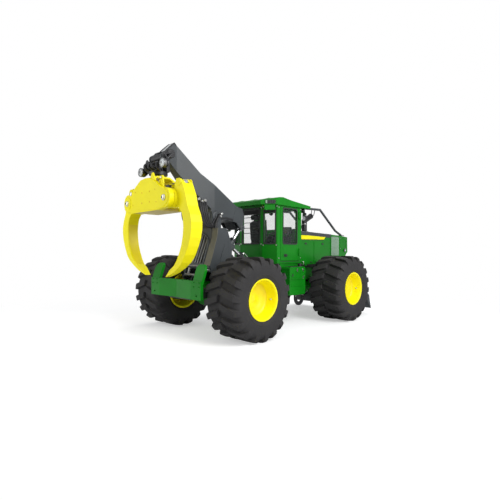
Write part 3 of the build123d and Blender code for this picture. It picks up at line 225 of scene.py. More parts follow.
def glazing():
    """Slightly grey see-through pane."""
    mat, tree, shader = new_material("glazing")
    shader.inputs["Base Color"].default_value = (0.16, 0.19, 0.18, 1)
    shader.inputs["Roughness"].default_value = 0.04
    haze = wire(tree, "TexNoise", Vector=wire(tree, "TexCoord").outputs["Object"], Scale=2.0, Detail=3.0)
    clear = wire(tree, "MapRange", Value=haze.outputs["Fac"], To_Min=0.05, To_Max=0.12)
    tree.links.new(clear.outputs["Result"], shader.inputs["Alpha"])
    return mat


GREEN = surface("green_paint", (0.003, 0.190, 0.006), 0.36, 0, 0.06, 0.10, 240, 0.0006, specular=0.22)
YELLOW = surface("yellow_paint", (0.93, 0.83, 0.004), 0.40, 0, 0, 0.05, 240, 0.0006, specular=0.25)
GOLD = surface("shaded_yellow", (0.80, 0.55, 0.002), 0.42, 0, 0, 0.08, 240, 0.0006)
# darker golden yellow: painted shade, for the disc deep in the rim's dish and the inner faces of the tongs
PAINTED_SHADE_GOLD = surface("painted_shade_yellow", (0.86, 0.70, 0.002), 0.42, 0, 0, 0.06, 240, 0.0006)
# dull tan yellow: painted shade on the underside of the yellow head
SHADED_UNDERSIDE = surface("shaded_underside_yellow", (0.62, 0.50, 0.14), 0.50, 0, 0, 0.10, 200, 0.0008)
CHARCOAL = surface("charcoal_paint", (0.038, 0.045, 0.050), 0.50, 0, 0.04, 0.12, 200, 0.0008)
# paler warm charcoal: painted highlight on the arch's folded rear edge
HIGHLIGHT_CHARCOAL = surface("highlight_charcoal", (0.105, 0.100, 0.070), 0.55, 0, 0, 0.18, 120, 0.0010)
BLACK = surface("black_paint", (0.012, 0.012, 0.014), 0.42, 0, 0, 0.20, 160, 0.0008)
RUBBER = surface("tyre_rubber", (0.020, 0.019, 0.020), 0.78, 0, 0, 0.16, 45, 0.0022, dust=0.05)
HOSE = surface("hose_rubber", (0.014, 0.014, 0.016), 0.50, 0, 0, 0.15, 220, 0.0008, edge=0)
CHROME = surface("rod_chrome", (0.78, 0.79, 0.81), 0.10, 1, 0, 0.04, 400, 0.0001)
STEEL = surface("plated_steel", (0.60, 0.60, 0.58), 0.30, 1, 0, 0.12, 120, 0.0004, edge=0)
WORN = surface("worn_steel", (0.20, 0.20, 0.20), 0.38, 1, 0, 0.22, 60, 0.0010)
ROPE = surface("wire_rope", (0.22, 0.21, 0.20), 0.45, 0.8, 0, 0.20, 420, 0.0030, edge=0)
# pale grey: painted highlight, the sky reflected on the boom's end face
PAINTED_HIGHLIGHT = surface("highlight_pale_metal", (0.66, 0.68, 0.68), 0.30, 0, 0, 0.10, 160, 0.0004, edge=0)
LENS = surface("lamp_glass", (0.62, 0.66, 0.66), 0.10, 0, 0.6, 0.22, 90, 0.0040, edge=0)
MESH = surface("screen_mesh", (0.26, 0.38, 0.28), 0.60, 0, 0, 0.12, 520, 0.0030)
CLOTH = surface("seat_cloth", (0.030, 0.031, 0.034), 0.90, 0, 0, 0.20, 620, 0.0016)
SCREEN = surface("screen_glass", (0.020, 0.024, 0.030), 0.12, 0, 0.5, 0.15, 90, 0.0001, edge=0)
TRIM = surface("cab_trim", (0.022, 0.023, 0.025), 0.65, 0, 0, 0.15, 150, 0.0010)

SLOT_FINISH = {
    "green_paint": GREEN,
    "yellow_paint": YELLOW,
    "charcoal_paint": CHARCOAL,
    "black_paint": BLACK,
    "tyre": RUBBER,
    "rod_chrome": CHROME,
    "glass": glazing(),
    "cab_trim": TRIM,
    "lamp_metal": BLACK,
}
for part in frame["record"]["subparts"]:
    mesh = nodes[part["node"]].data
    mesh.materials.clear()
    mesh.materials.append(SLOT_FINISH[part["material_slot"]])


# Outlines

def circle(count, radius=1.0):
    """Points round a circle, as pairs."""
    turns = [2 * math.pi * k / count for k in range(count)]
    return [(radius * math.cos(t), radius * math.sin(t)) for t in turns]


def about(middle, half):
    """Pair of limits on both sides of a value."""
    return middle - half, middle + half


def grown(pair, by):
    """Pair of limits moved apart."""
    return pair[0] - by, pair[1] + by


def outward(side, inner, outer):
    """Pair of limits of y on one side of the machine, the lower one first."""
    return tuple(sorted((side * inner, side * outer)))


def square(u, v):
    """Outline of a rectangle between pairs of limits."""
    return [(u[0], v[0]), (u[1], v[0]), (u[1], v[1]), (u[0], v[1])]


def rounded(u, v, radius, steps=5):
    """Outline of a rectangle between pairs of limits, with rounded corners."""
    out = []
    corners = ((u[1] - radius, v[0] + radius, -90), (u[1] - radius, v[1] - radius, 0))
    corners += ((u[0] + radius, v[1] - radius, 90), (u[0] + radius, v[0] + radius, 180))
    for cu, cv, start in corners:
        for k in range(steps + 1):
            t = math.radians(start + 90 * k / steps)
            out.append((cu + radius * math.cos(t), cv + radius * math.sin(t)))
    return out


def two_halves(half):
    """Outline in x and y from its half on the right."""
    return half + [(x, -y) for x, y in reversed(half)]


def smooth_path(points, per_run=8):
    """Points of a soft curve through the given points."""
    pts = [Vector(p) for p in points]
    pts = [2 * pts[0] - pts[1]] + pts + [2 * pts[-1] - pts[-2]]
    out = []
    for a, b, c, d in zip(pts, pts[1:], pts[2:], pts[3:]):
        for k in range(per_run):
            t = k / per_run
            bend = (2 * a - 5 * b + 4 * c - d) * t * t + (3 * b - a - 3 * c + d) * t ** 3
            out.append(0.5 * (2 * b + (c - a) * t + bend))
    out.append(pts[-2])
    return out


# Mesh building

class Piece:
    """Mesh under construction: closed shapes are added, then it rides on a body."""

    def __init__(self):
        self.bm = bmesh.new()

    def rings(self, rows, capped=True):
        """Skin through rows of points that join their ends; capped closes the first and last row."""
        made = [[self.bm.verts.new(point) for point in row] for row in rows]
        for low, high in zip(made, made[1:]):
            for i in range(len(low)):
                j = (i + 1) % len(low)
                self.bm.faces.new((low[i], low[j], high[j], high[i]))
        if capped:
            self.bm.faces.new(list(reversed(made[0])))
            self.bm.faces.new(made[-1])
        return self

    def upright(self, outline, lo, hi):
        """Outline of (x, z) points made solid between two values of y."""
        return self.rings([[(x, y, z) for x, z in outline] for y in (lo, hi)])

    def box(self, x, y, z):
        """Box between pairs of limits."""
        return self.rings([[(u, v, w) for u, v in square(x, y)] for w in z])

    def turned(self, profile, centre, axis, steps, capped=True):
        """Profile of (radius, distance along the axis) turned about the axis through the centre."""
        turn = Vector(axis).to_track_quat("Z", "X").to_matrix()
        origin = Vector(centre)
        rows = [[origin + turn @ Vector((u, v, along)) for u, v in circle(steps, radius)]
                for radius, along in profile]
        return self.rings(rows, capped)

    def rod(self, start, end, radius, steps):
        """Round bar between two points."""
        start, end = Vector(start), Vector(end)
        return self.turned([(radius, 0), (radius, (end - start).length)], start, end - start, steps)

    def tube(self, path, radius, steps=14):
        """Round tube along a path of points, with flat ends."""
        points = [Vector(p) for p in path]
        side = None
        rows = []
        for before, point, after in zip(points[:1] + points, points, points[1:] + points[-1:]):
            ahead = (after - before).normalized()
            if side is None:
                side = ahead.orthogonal().normalized()
            side = (side - ahead * side.dot(ahead)).normalized()
            third = ahead.cross(side)
            rows.append([point + radius * (c * side + s * third) for c, s in circle(steps)])
        return self.rings(rows)

    def bolt(self, place, axis, radius, height):
        """Hexagon head on a washer."""
        self.turned([(radius * 1.35, 0), (radius * 1.35, height * 0.25)], place, axis, 16)
        top = Vector(place) + Vector(axis).normalized() * height * 0.25
        return self.turned([(radius, 0), (radius, height * 0.6), (radius * 0.8, height * 0.75)], top, axis, 6)

    def slab(self, face, outline, lo, hi):
        """Outline on a face made solid between two distances out of it."""
        return self.rings([[face.at(u, v, out) for u, v in outline] for out in (lo, hi)])

    def done(self, name, material, body, bevel=0.0, segments=2, slot=None, smooth=40):
        """Finish the mesh and let it ride."""
        bmesh.ops.recalc_face_normals(self.bm, faces=self.bm.faces)
        mesh = bpy.data.meshes.new(name)
        self.bm.to_mesh(mesh)
        self.bm.free()
        mesh.materials.append(material)
        mesh.polygons.foreach_set("use_smooth", [True] * len(mesh.polygons))
        piece = bpy.data.objects.new(name, mesh)
        scene.collection.objects.link(piece)
        if bevel:
            round_off = piece.modifiers.new("edges", "BEVEL")
            round_off.width = bevel
            round_off.segments = segments
            round_off.limit_method = "ANGLE"
            round_off.angle_limit = math.radians(30)
            round_off.harden_normals = True
        else:
            mesh.set_sharp_from_angle(angle=math.radians(smooth))
        if body:
            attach(piece, body)
        return piece


class Face:
    """Flat place on the machine: a point, the directions of its u and v axes, and the way out of it."""

    def __init__(self, origin, u, v, out):
        self.origin = Vector(origin)
        self.u = Vector(u).normalized()
        self.v = Vector(v).normalized()
        self.out = Vector(out).normalized()

    def at(self, u, v, out=0.0):
        """Place on the face, or off it."""
        return self.origin + u * self.u + v * self.v + out * self.out

    def moved(self, out):
        """The same face further out."""
        return Face(self.at(0, 0, out), self.u, self.v, self.out)


def side_face(side, y):
    """Upright face along the machine at a distance from its middle: u is x and v is z."""
    return Face((0, side * y, 0), FORWARD, UP, (0, side, 0))


def end_face(x, ahead=-1):
    """Upright face across the machine that looks back, or ahead: u is y and v is z."""
    return Face((x, 0, 0), ACROSS, UP, (ahead, 0, 0))


def deck_face(z):
    """Level face that looks up: u is x and v is y."""
    return Face((0, 0, z), FORWARD, ACROSS, UP)


# Kinds of piece

def patch(name, face, outline, lo, hi, material, body, bevel=0.0, segments=2):
    """Plate on a face."""
    Piece().slab(face, outline, lo, hi).done(name, material, body, bevel, segments)


def block(name, x, y, z, material, body, bevel=0.0, segments=2):
    """Box between pairs of limits."""
    Piece().box(x, y, z).done(name, material, body, bevel, segments)


def lathe(name, profile, at, axis, steps, material, body, bevel=0.0, smooth=40, capped=True):
    """Turned piece."""
    Piece().turned(profile, at, axis, steps, capped).done(name, material, body, bevel, smooth=smooth)


def bent(name, points, radius, material, body, per_run=8, steps=14):
    """Soft round tube through its points."""
    return Piece().tube(smooth_path(points, per_run), radius, steps).done(name, material, body, smooth=60)


def frame_ring(name, face, outer, inner, lo, hi, material, body, bevel):
    """Flat frame between two outlines that have the same number of points."""
    rows = [(inner, lo), (outer, lo), (outer, hi), (inner, hi), (inner, lo)]
    points = [[face.at(u, v, out) for u, v in outline] for outline, out in rows]
    Piece().rings(points, capped=False).done(name, material, body, bevel)


def bead(name, face, u, v, width, radius, inner_radius, hi, body, bevel=0.002):
    """Raised green line round a rectangle between pairs of limits."""
    inner = rounded(grown(u, -width), grown(v, -width), inner_radius)
    frame_ring(name, face, rounded(u, v, radius), inner, -0.002, hi, GREEN, body, bevel)


SEAL_WIDTH = 0.022
SEAL_LAP = 0.012


def gasket(name, face, u, v, body, radius=0.06):
    """Rubber seal round a window opening between pairs of limits."""
    outer = rounded(grown(u, SEAL_WIDTH), grown(v, SEAL_WIDTH), radius)
    inner = rounded(grown(u, -SEAL_LAP), grown(v, -SEAL_LAP), radius * 0.7)
    frame_ring(name, face, outer, inner, -0.004, 0.010, TRIM, body, 0.004)


def bolts(name, face, us, vs, body, radius=0.014, height=0.016, material=STEEL):
    """Hexagon heads on a face, in rows at each u and v."""
    piece = Piece()
    for u in us:
        for v in vs:
            piece.bolt(face.at(u, v), face.out, radius, height)
    piece.done(name, material, body)


# Wheels

WHEELS = {}
for end in ("front", "rear"):
    for side in ("left", "right"):
        low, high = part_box(f"tyre_{end}_{side}")
        WHEELS[f"{end}_{side}"] = (low + high) / 2
TYRE_R = (high.z - low.z) / 2

LUGS = 18
# how far a lug's line turns back for each metre from the middle of the tread
LUG_SLANT = 0.3367
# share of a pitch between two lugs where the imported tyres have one
LUG_PHASE = -0.25
# how far forward a lug starts at the middle of the tread, in metres
LUG_LEAD = 0.0825
# from the middle outwards: y and radius of the carcass, y and radius on a lug
TREAD_ROWS = (
    (0.000, 0.842, 0.000, 0.842),
    (0.018, 0.842, 0.018, 0.842),
    (0.036, 0.842, 0.036, 0.900),
    (0.150, 0.842, 0.150, 0.905),
    (0.270, 0.840, 0.270, 0.905),
    (0.370, 0.836, 0.380, 0.904),
    (0.420, 0.822, 0.424, 0.897),
    (0.450, 0.795, 0.458, 0.862),
    (0.468, 0.765, 0.480, 0.812),
    (0.480, 0.730, 0.487, 0.765),
    (0.479, 0.690, 0.480, 0.694),
)
# the sidewall below the lugs, y and radius
WALL_ROWS = (
    (0.482, 0.640), (0.480, 0.575), (0.474, 0.545), (0.478, 0.535), (0.466, 0.520), (0.455, 0.480),
    (0.442, 0.458),
    (0.436, 0.450), (0.435, 0.418),
)
# where the columns of one pitch stand, as shares of the pitch, and the lug's top edges
PITCH_COLUMNS = (0.00, 0.010, 0.040, 0.25, 0.46, 0.49, 0.50, 0.51, 0.540, 0.75, 0.96, 0.99)
LUG_TOP = (0.040, 0.46)
# radius and distance outboard of the wheel's middle
RIM_PROFILE = (
    (0.416, -0.432), (0.449, -0.438), (0.450, -0.452), (0.440, -0.456), (0.404, -0.440), (0.396, -0.400),
    (0.396, 0.050), (0.270, 0.080), (0.255, 0.060), (0.255, -0.165), (0.082, -0.168), (0.082, 0.118),
    (0.001, 0.120), (0.001, 0.168), (0.060, 0.168), (0.070, 0.160), (0.190, 0.158), (0.200, 0.168),
    (0.300, 0.174), (0.318, 0.182), (0.338, 0.190), (0.352, 0.208), (0.366, 0.260), (0.388, 0.340),
    (0.402, 0.400), (0.412, 0.436), (0.426, 0.452), (0.440, 0.456), (0.450, 0.450), (0.450, 0.438),
    (0.416, 0.432),
)
# skin of the deeper disc inside the dish, in darker golden as painted shade inside the dish
DISC_PROFILE = (
    (0.001, 0.172), (0.060, 0.172), (0.072, 0.164), (0.189, 0.162), (0.199, 0.172), (0.299, 0.178),
    (0.317, 0.186), (0.336, 0.194), (0.350, 0.211), (0.352, 0.216),
)
VALVE_PROFILE = ((0.017, 0), (0.017, 0.012), (0.012, 0.016), (0.012, 0.045))


def on_lug(column, half):
    """Whether a column stands on a lug: the two halves of the tread are half a pitch apart."""
    share = PITCH_COLUMNS[column % len(PITCH_COLUMNS)]
    if half < 0:
        share = (share + 0.5) % 1.0
    return LUG_TOP[0] - 1e-6 <= share <= LUG_TOP[1] + 1e-6


def tyre(name, centre, out):
    """Forestry tyre with slanting lugs that wrap over the shoulders."""
    per = len(PITCH_COLUMNS)
    outwards = TREAD_ROWS + tuple((y, r, y, r) for y, r in WALL_ROWS)
    halves = [(-1, row) for row in reversed(outwards)] + [(1, row) for row in outwards[1:]]
    rows = []
    for half, (y0, r0, y1, r1) in halves:
        row = []
        for column in range(LUGS * per):
            share = (column // per + PITCH_COLUMNS[column % per] - LUG_PHASE) / LUGS
            y, r = (y1, r1) if on_lug(column, half * out) else (y0, r0)
            t = 2 * math.pi * share + (LUG_SLANT * y0 - LUG_LEAD) / TYRE_R
            row.append(centre + Vector((r * math.cos(t), half * y, r * math.sin(t))))
        rows.append(row)
    piece = Piece().rings(rows, capped=False)
    made = piece.done(f"tread_{name}", RUBBER, f"wheel_{name}", slot="tyre", smooth=32)
    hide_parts(f"tyre_{name}")


def rim(name, centre, out):
    """Dished rim with its disc and valve."""
    body = f"wheel_{name}"
    axis = (0, out, 0)
    piece = Piece().turned(RIM_PROFILE, centre, axis, 96, capped=False)
    made = piece.done(f"dish_{name}", YELLOW, body, slot="yellow_paint", smooth=50)
    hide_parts(f"rim_{name}")
    # the disc is darker golden: painted shade inside the dish
    lathe(f"disc_{name}", DISC_PROFILE, centre, axis, 96, PAINTED_SHADE_GOLD, body, smooth=50, capped=False)
    valve = centre + Vector((0.375, out * 0.30, -0.02))
    lathe(f"valve_{name}", VALVE_PROFILE, valve, (-0.6, out, 0), 16, STEEL, body)


for wheel, middle in WHEELS.items():
    outboard = 1 if wheel.endswith("left") else -1
    tyre(wheel, middle, outboard)
    rim(wheel, middle, outboard)


# Cab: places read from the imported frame

def limits(node):
    """Lowest and highest corner of a node, as pairs for x and z."""
    low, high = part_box(node)
    return (low.x, high.x), (low.z, high.z)


CAB_X, _ = limits("cab_shell")
CAB_SIDE = 0.80
SKIRT_SIDE = 0.775
PANE_X, PANE_Z = limits("door_glass_right")
DOOR_X, DOOR_Z = limits("door_right")
DOOR_FRONT = 0.700
DOOR_FACE = CAB_SIDE + 0.004
CORNER_X = (-0.36, -0.21)
CORNER_Y = (0.41, 0.80)
REAR_HALF = 0.32
ROOF_X, ROOF_Z = limits("cab_roof")


def cab_ends():
    """Seals of the end windows, and the guard bars, louvre, pressed seam and bolts of the rear wall."""
    front_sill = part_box("hood")[1].z + 0.04
    gasket("seal_front", end_face(CAB_X[1], 1), (-0.69, 0.69), (front_sill, PANE_Z[1]), "front")
    rear = end_face(CAB_X[0])
    ends = (-REAR_HALF, REAR_HALF)
    gasket("seal_rear", rear, ends, PANE_Z, "front")
    bars = Piece()
    for z in (2.41, 2.55, 2.69, 2.83):
        bars.rod(rear.at(ends[0], z, 0.022), rear.at(ends[1], z, 0.022), 0.009, 12)
        for end in ends:
            bars.rod(rear.at(end, z, -0.002), rear.at(end, z, 0.028), 0.0117, 12)
    bars.done("bars_rear", BLACK, "front")
    # black panel with slanting slats above the bars
    wide, high, slats = (-0.30, 0.30), (2.90, 3.04), 5
    louvre = Piece().slab(rear, rounded(wide, high, 0.02), -0.002, 0.006)
    pitch = (high[1] - high[0] - 0.03) / slats
    for k in range(slats):
        z = high[0] + 0.015 + k * pitch
        slat = [(z, 0.006), (z + 0.25 * pitch, 0.022), (z + 0.8 * pitch, 0.006)]
        louvre.rings([[rear.at(end, v, out) for v, out in slat] for end in grown(wide, -0.02)])
    louvre.done("louvre_rear", BLACK, "front", bevel=0.0015)
    bead("seam_rear", rear, (-0.37, 0.37), (1.66, 2.09), 0.015, 0.03, 0.025, 0.004, "front")
    bolts("bolts_rear", rear, (-0.375, 0.375), (2.12, 3.08), "front")


def cab_corner(side, name):
    """Seal, header and bolts of the angled rear window: u runs forward along its wall from the middle."""
    run = Vector((CORNER_X[1] - CORNER_X[0], side * (CORNER_Y[1] - CORNER_Y[0]), 0))
    middle = (sum(CORNER_X) / 2, side * sum(CORNER_Y) / 2, 0)
    face = Face(middle, run, UP, (-run.y * side, run.x * side, 0))
    half = run.length / 2 - 0.055
    gasket(f"seal_corner_{name}", face, (-half, half), PANE_Z, "front", 0.045)
    header = rounded((-half, half), (PANE_Z[1] - 0.11, PANE_Z[1] - 0.01), 0.02)
    patch(f"header_{name}", face, header, -0.01, 0.006, TRIM, "front", 0.003)
    bolts(f"bolts_corner_{name}", face, about(0, run.length / 2 - 0.025), (2.09, 3.10), "front")


def cab_side(side, name):
    """Trim and latch of a door, with the sill, skirt, bolts and mirror beside it."""
    body = f"door_{name}"
    door = side_face(side, DOOR_FACE)
    gasket(f"seal_door_{name}", door, PANE_X, PANE_Z, body)
    outer = rounded((DOOR_X[0] - 0.001, DOOR_FRONT), DOOR_Z, 0.03)
    inner = rounded((DOOR_X[0] + 0.016, DOOR_FRONT - 0.016), grown(DOOR_Z, -0.016), 0.025)
    frame_ring(f"door_rim_{name}", door, outer, inner, -0.003, 0.003, GREEN, body, 0.002)
    bead(f"door_press_{name}", door, (0.02, 0.62), (1.76, 2.06), 0.014, 0.04, 0.035, 0.004, body)
    plate = rounded((0.06, 0.20), (1.78, 1.86), 0.02)
    patch(f"latch_plate_{name}", door, plate, -0.002, 0.006, BLACK, body, 0.003)
    pull = ((0.08, 0.004), (0.085, 0.035), (0.13, 0.042), (0.175, 0.035), (0.18, 0.004))
    bent(f"latch_{name}", [door.at(u, 1.82, out) for u, out in pull], 0.009, TRIM, body, 6)
    wall = side_face(side, CAB_SIDE)
    sill = square((DOOR_X[0] - 0.02, 0.80), (1.655, 1.668))
    patch(f"door_sill_{name}", wall, sill, -0.002, 0.004, TRIM, "front", 0.001)
    skirt = rounded((-0.07, 0.79), (1.50, 1.652), 0.01)
    patch(f"cab_skirt_{name}", side_face(side, SKIRT_SIDE), skirt, -0.03, 0.0, GREEN, "front", 0.004)
    bolts(f"bolts_post_{name}", wall, (-0.15, 0.78), (1.75, 3.08), "front")
    # mirror on its bracket at the front edge
    arm = ((0.79, 3.06, 0.0), (0.84, 3.05, 0.06), (0.93, 3.03, 0.03), (0.97, 2.99, -0.02))
    bent(f"mirror_arm_{name}", [wall.at(*place) for place in arm], 0.011, BLACK, "front", 6)
    glass = Face(wall.at(0.97, 2.90, -0.02), (0.25, -side, 0), UP, (-1, -0.25 * side, 0))
    u, v = (-0.075, 0.075), (-0.12, 0.11)
    patch(f"mirror_{name}", glass, rounded(u, v, 0.035), -0.03, 0.002, BLACK, "front", 0.008)
    pane = rounded(grown(u, -0.013), grown(v, -0.013), 0.028)
    patch(f"mirror_glass_{name}", glass, pane, 0.001, 0.004, CHROME, "front")


def roof_details():
    """Rain channel, lamp blocks with slats at the rear corners, ribs, and lamps over the front window."""
    inner = two_halves([(ROOF_X[0], -0.56), (-0.30, -0.85), (ROOF_X[1], -0.85)])
    outer = two_halves([(-0.594, -0.565), (-0.303, -0.856), (1.184, -0.856)])
    frame_ring("roof_lip", deck_face(ROOF_Z[0]), outer, inner, -0.012, 0.012, GREEN, "front", 0.004)
    # name, limits of u and v, corner radius, limits out of the face, material and bevel
    rows = (
        ("box", (-0.11, 0.17), (2.99, 3.125), 0.02, -0.10, -0.005, GREEN, 0.008),
        ("block", (-0.09, 0.18), (3.145, 3.245), 0.02, -0.06, 0.014, BLACK, 0.006),
        ("lens", (-0.080, -0.035), (3.160, 3.232), 0.012, 0.012, 0.020, MESH, 0.003),
    )
    for side, name in SIDES:
        face = Face((-0.445, side * 0.705, 0), (1, side, 0), UP, (-1, side, 0))
        for tag, u, v, radius, lo, hi, material, bevel in rows:
            patch(f"lamp_{tag}_{name}", face, rounded(u, v, radius), lo, hi, material, "front", bevel)
        slats = Piece()
        for k in range(4):
            u = -0.005 + k * 0.044
            slats.slab(face, square((u, u + 0.016), (3.16, 3.232)), 0.010, 0.024)
        slats.done(f"lamp_slats_{name}", CHARCOAL, "front", bevel=0.002)
    ribs = Piece()
    for y in (-0.50, 0.0, 0.50):
        line = ((-0.56, 3.238), (-0.21, 3.327), (-0.04, 3.342), (0.328, 3.287), (1.15, 3.206))
        ribs.tube([(x, y, z) for x, z in line], 0.012, 10)
    ribs.done("roof_ribs", GREEN, "front", smooth=50)
    lamps = Piece()
    glass = Piece()
    for y in (-0.60, -0.36, 0.36, 0.60):
        at = (1.165, y, 3.085)
        lamps.turned([(0.05, -0.05), (0.062, -0.03), (0.062, 0.012), (0.055, 0.016)], at, FORWARD, 28)
        lamps.rod((1.13, y, 3.085), (1.13, y, 3.145), 0.014, 12)
        glass.turned([(0.054, 0.010), (0.046, 0.019), (0.02, 0.024)], at, FORWARD, 28)
    lamps.done("roof_lamps", BLACK, "front", bevel=0.002)
    glass.done("roof_lamp_lenses", LENS, "front")


def seat_details():
    """Seat cushions, arm rests and joysticks."""
    rows = []
    for k in range(5):
        swell = math.sin(math.pi * k / 8)
        half = 0.22 + 0.02 * swell
        z = 2.145 + 0.05 * swell - (0.02 if k == 0 else 0)
        rows.append([(0.28 + 0.98 * x, y, z) for x, y in square((-half, half), (-half, half))])
    Piece().rings(rows).done("seat_cushion", CLOTH, "front", bevel=0.02, segments=3)
    back = Face((-0.012, 0, 0), ACROSS, (-0.075, 0, 1), (1, 0, 0.075))
    pad = rounded((-0.20, 0.20), (2.20, 2.74), 0.08)
    patch("seat_back_pad", back, pad, 0.0, 0.06, CLOTH, "front", 0.02, 3)
    rest = rounded((-0.13, 0.13), (2.78, 2.92), 0.05)
    patch("head_rest", back, rest, -0.02, 0.05, CLOTH, "front", 0.018, 3)
    sticks = Piece()
    arms = Piece()
    profile = ((0.035, 0), (0.030, 0.03), (0.012, 0.05), (0.012, 0.12), (0.022, 0.14))
    profile += ((0.026, 0.20), (0.018, 0.235))
    for y in (-0.36, 0.36):
        sticks.turned(profile, (0.44, y, 2.25), (0.15, 0, 1), 20)
        arms.box((0.05, 0.40), about(y, 0.06), (2.255, 2.32))
    sticks.done("joysticks", TRIM, "front", smooth=60)
    arms.done("arm_rests", CLOTH, "front", bevel=0.02, segments=3)


def dash_details():
    """Steering wheel, monitor, and a mirror that hangs from the roof on a bent wire."""
    wheel = Piece()
    centre = Vector((0.60, 0, 2.42))
    tilt = Vector((-0.5, 0, 1)).normalized()
    turn = tilt.to_track_quat("Z", "X").to_matrix()
    hoop = [centre + turn @ Vector((u, v, 0)) for u, v in circle(32, 0.17)]
    wheel.tube(hoop + hoop[:1], 0.014, 10)
    wheel.rod(centre, centre - tilt * 0.35, 0.028, 16)
    for u, v in circle(3, 0.165):
        wheel.rod(centre, centre + turn @ Vector((u, v, 0)), 0.012, 10)
    wheel.done("steering_wheel", TRIM, "front", smooth=60)
    monitor = Face((0.66, -0.42, 2.52), (0.5, -1, 0), UP, (-1, -0.5, 0))
    case = rounded((-0.13, 0.13), (-0.09, 0.09), 0.02)
    patch("monitor", monitor, case, -0.03, 0.0, TRIM, "front", 0.006)
    patch("screen", monitor, rounded((-0.115, 0.115), (-0.075, 0.075), 0.01), 0.0, 0.002, SCREEN, "front")
    Piece().rod((0.70, -0.42, 2.36), (0.68, -0.42, 2.46), 0.02, 12).done("monitor_post", TRIM, "front")
    hook = [(0.30, -0.30, 3.12), (0.30, -0.30, 3.02), (0.27, -0.33, 2.99)]
    hook += [(0.27, -0.38, 2.99), (0.30, -0.40, 3.02)]
    bent("mirror_hook", hook, 0.012, BLACK, "front", 6)
    block("inside_mirror", (0.28, 0.32), (-0.37, -0.23), (3.00, 3.08), BLACK, "front", 0.012)


# Hood and nose

HOOD_SIDE = 0.62
# (x, z) of the hood's top at the cab and at the nose
HOOD_TOP = ((0.825, 2.510), (3.098, 2.440))


def hood_top(x):
    """Height of the hood's top."""
    (x0, z0), (x1, z1) = HOOD_TOP
    return z0 + (x - x0) * (z1 - z0) / (x1 - x0)


def hood_cover():
    """Dark cover with its vents."""
    outline = two_halves([(HOOD_TOP[0][0], -0.628), (2.62, -0.628), (2.78, -0.50)])
    rows = []
    for lift, pull in ((-0.10, 0.0), (0.004, 0.0), (0.012, 0.02)):
        rows.append([(x, y - math.copysign(pull, y), hood_top(x) + lift) for x, y in outline])
    Piece().rings(rows).done("hood_cover", CHARCOAL, "front", bevel=0.006)
    vents = Piece()
    for k in range(9):
        x = 1.95 + 0.075 * k
        vents.box((x, x + 0.03), (-0.40, 0.40), (hood_top(x) + 0.008, hood_top(x) + 0.020))
    vents.done("cover_vents", BLACK, "front", bevel=0.002)


def hood_side(side, name):
    """Stripe, screen, doors of the engine bay, and the pressed line, lamp and bolts of the nose."""
    face = side_face(side, HOOD_SIDE)
    back = HOOD_TOP[0][0] + 0.03
    # name, outline, thickness, material and bevel
    rows = (
        ("stripe", [(back, 2.272), (2.20, 2.290), (2.34, 2.405), (back, 2.385)], 0.006, YELLOW, 0.001),
        ("stripe_edge", [(back, 2.250), (2.19, 2.268), (2.20, 2.290), (back, 2.272)], 0.004, BLACK, 0.001),
        ("side_screen", rounded((2.60, 3.06), (1.80, 2.40), 0.02), 0.010, MESH, 0.003),
    )
    for tag, outline, thick, material, bevel in rows:
        patch(f"{tag}_{name}", face, outline, -0.002, thick, material, "front", bevel)
    bead(f"screen_frame_{name}", face, (2.575, 3.085), (1.775, 2.425), 0.03, 0.03, 0.02, 0.016,
         "front", 0.003)
    ribs = Piece()
    for k in range(14):
        u = 2.63 + 0.031 * k
        ribs.slab(face, square((u, u + 0.008), (1.82, 2.38)), 0.008, 0.015)
    ribs.done(f"screen_ribs_{name}", MESH, "front")
    for k, door in enumerate(((0.86, 1.68), (1.70, 2.56))):
        bead(f"bay_{k}_{name}", face, door, (1.60, 2.235), 0.012, 0.03, 0.022, 0.005, "front")
        latch = rounded(about(sum(door) / 2, 0.05), (2.13, 2.18), 0.015)
        patch(f"bay_latch_{k}_{name}", face, latch, -0.002, 0.010, BLACK, "front", 0.003)
        hinges = Piece()
        for u in grown(door, -0.15):
            hinges.rod(face.at(u - 0.05, 1.618, 0.012), face.at(u + 0.05, 1.618, 0.012), 0.011, 14)
        hinges.done(f"bay_hinges_{k}_{name}", BLACK, "front")
    bead(f"nose_press_{name}", face, (3.12, 3.50), (1.99, 2.38), 0.015, 0.04, 0.035, 0.005, "front")
    lamp = face.at(3.40, 1.965)
    shell = [(0.04, -0.01), (0.048, 0.01), (0.048, 0.03), (0.04, 0.036)]
    lathe(f"side_lamp_{name}", shell, lamp, face.out, 24, BLACK, "front")
    lathe(f"side_lens_{name}", [(0.039, 0.03), (0.03, 0.042)], lamp, face.out, 24, LENS, "front")
    bolts(f"nose_bolts_{name}", face, (3.16, 3.46), (2.025, 2.345), "front", 0.010)


def nose_front():
    """Grille with its core, and the head lamps."""
    bars = Piece()
    for k in range(15):
        bars.box((3.545, 3.585), about(-0.54 + 0.077 * k, 0.007), (1.98, 2.33))
    bars.done("grille_bars", BLACK, "front", bevel=0.002)
    cross = Piece()
    for z in (2.06, 2.155, 2.25):
        cross.box((3.54, 3.575), (-0.56, 0.56), about(z, 0.008))
    cross.done("grille_cross", BLACK, "front", bevel=0.002)
    core = rounded((-0.555, 0.555), (1.985, 2.325), 0.01)
    patch("grille_core", end_face(3.523, 1), core, 0.0, 0.006, MESH, "front")
    lamps = Piece()
    lenses = Piece()
    for y in (-0.42, 0.42):
        lamps.box((3.40, 3.575), about(y, 0.09), (2.362, 2.43))
        lenses.box((3.566, 3.582), about(y, 0.078), (2.372, 2.420))
    lamps.done("head_lamps", BLACK, "front", bevel=0.008)
    lenses.done("head_lenses", LENS, "front", bevel=0.004)


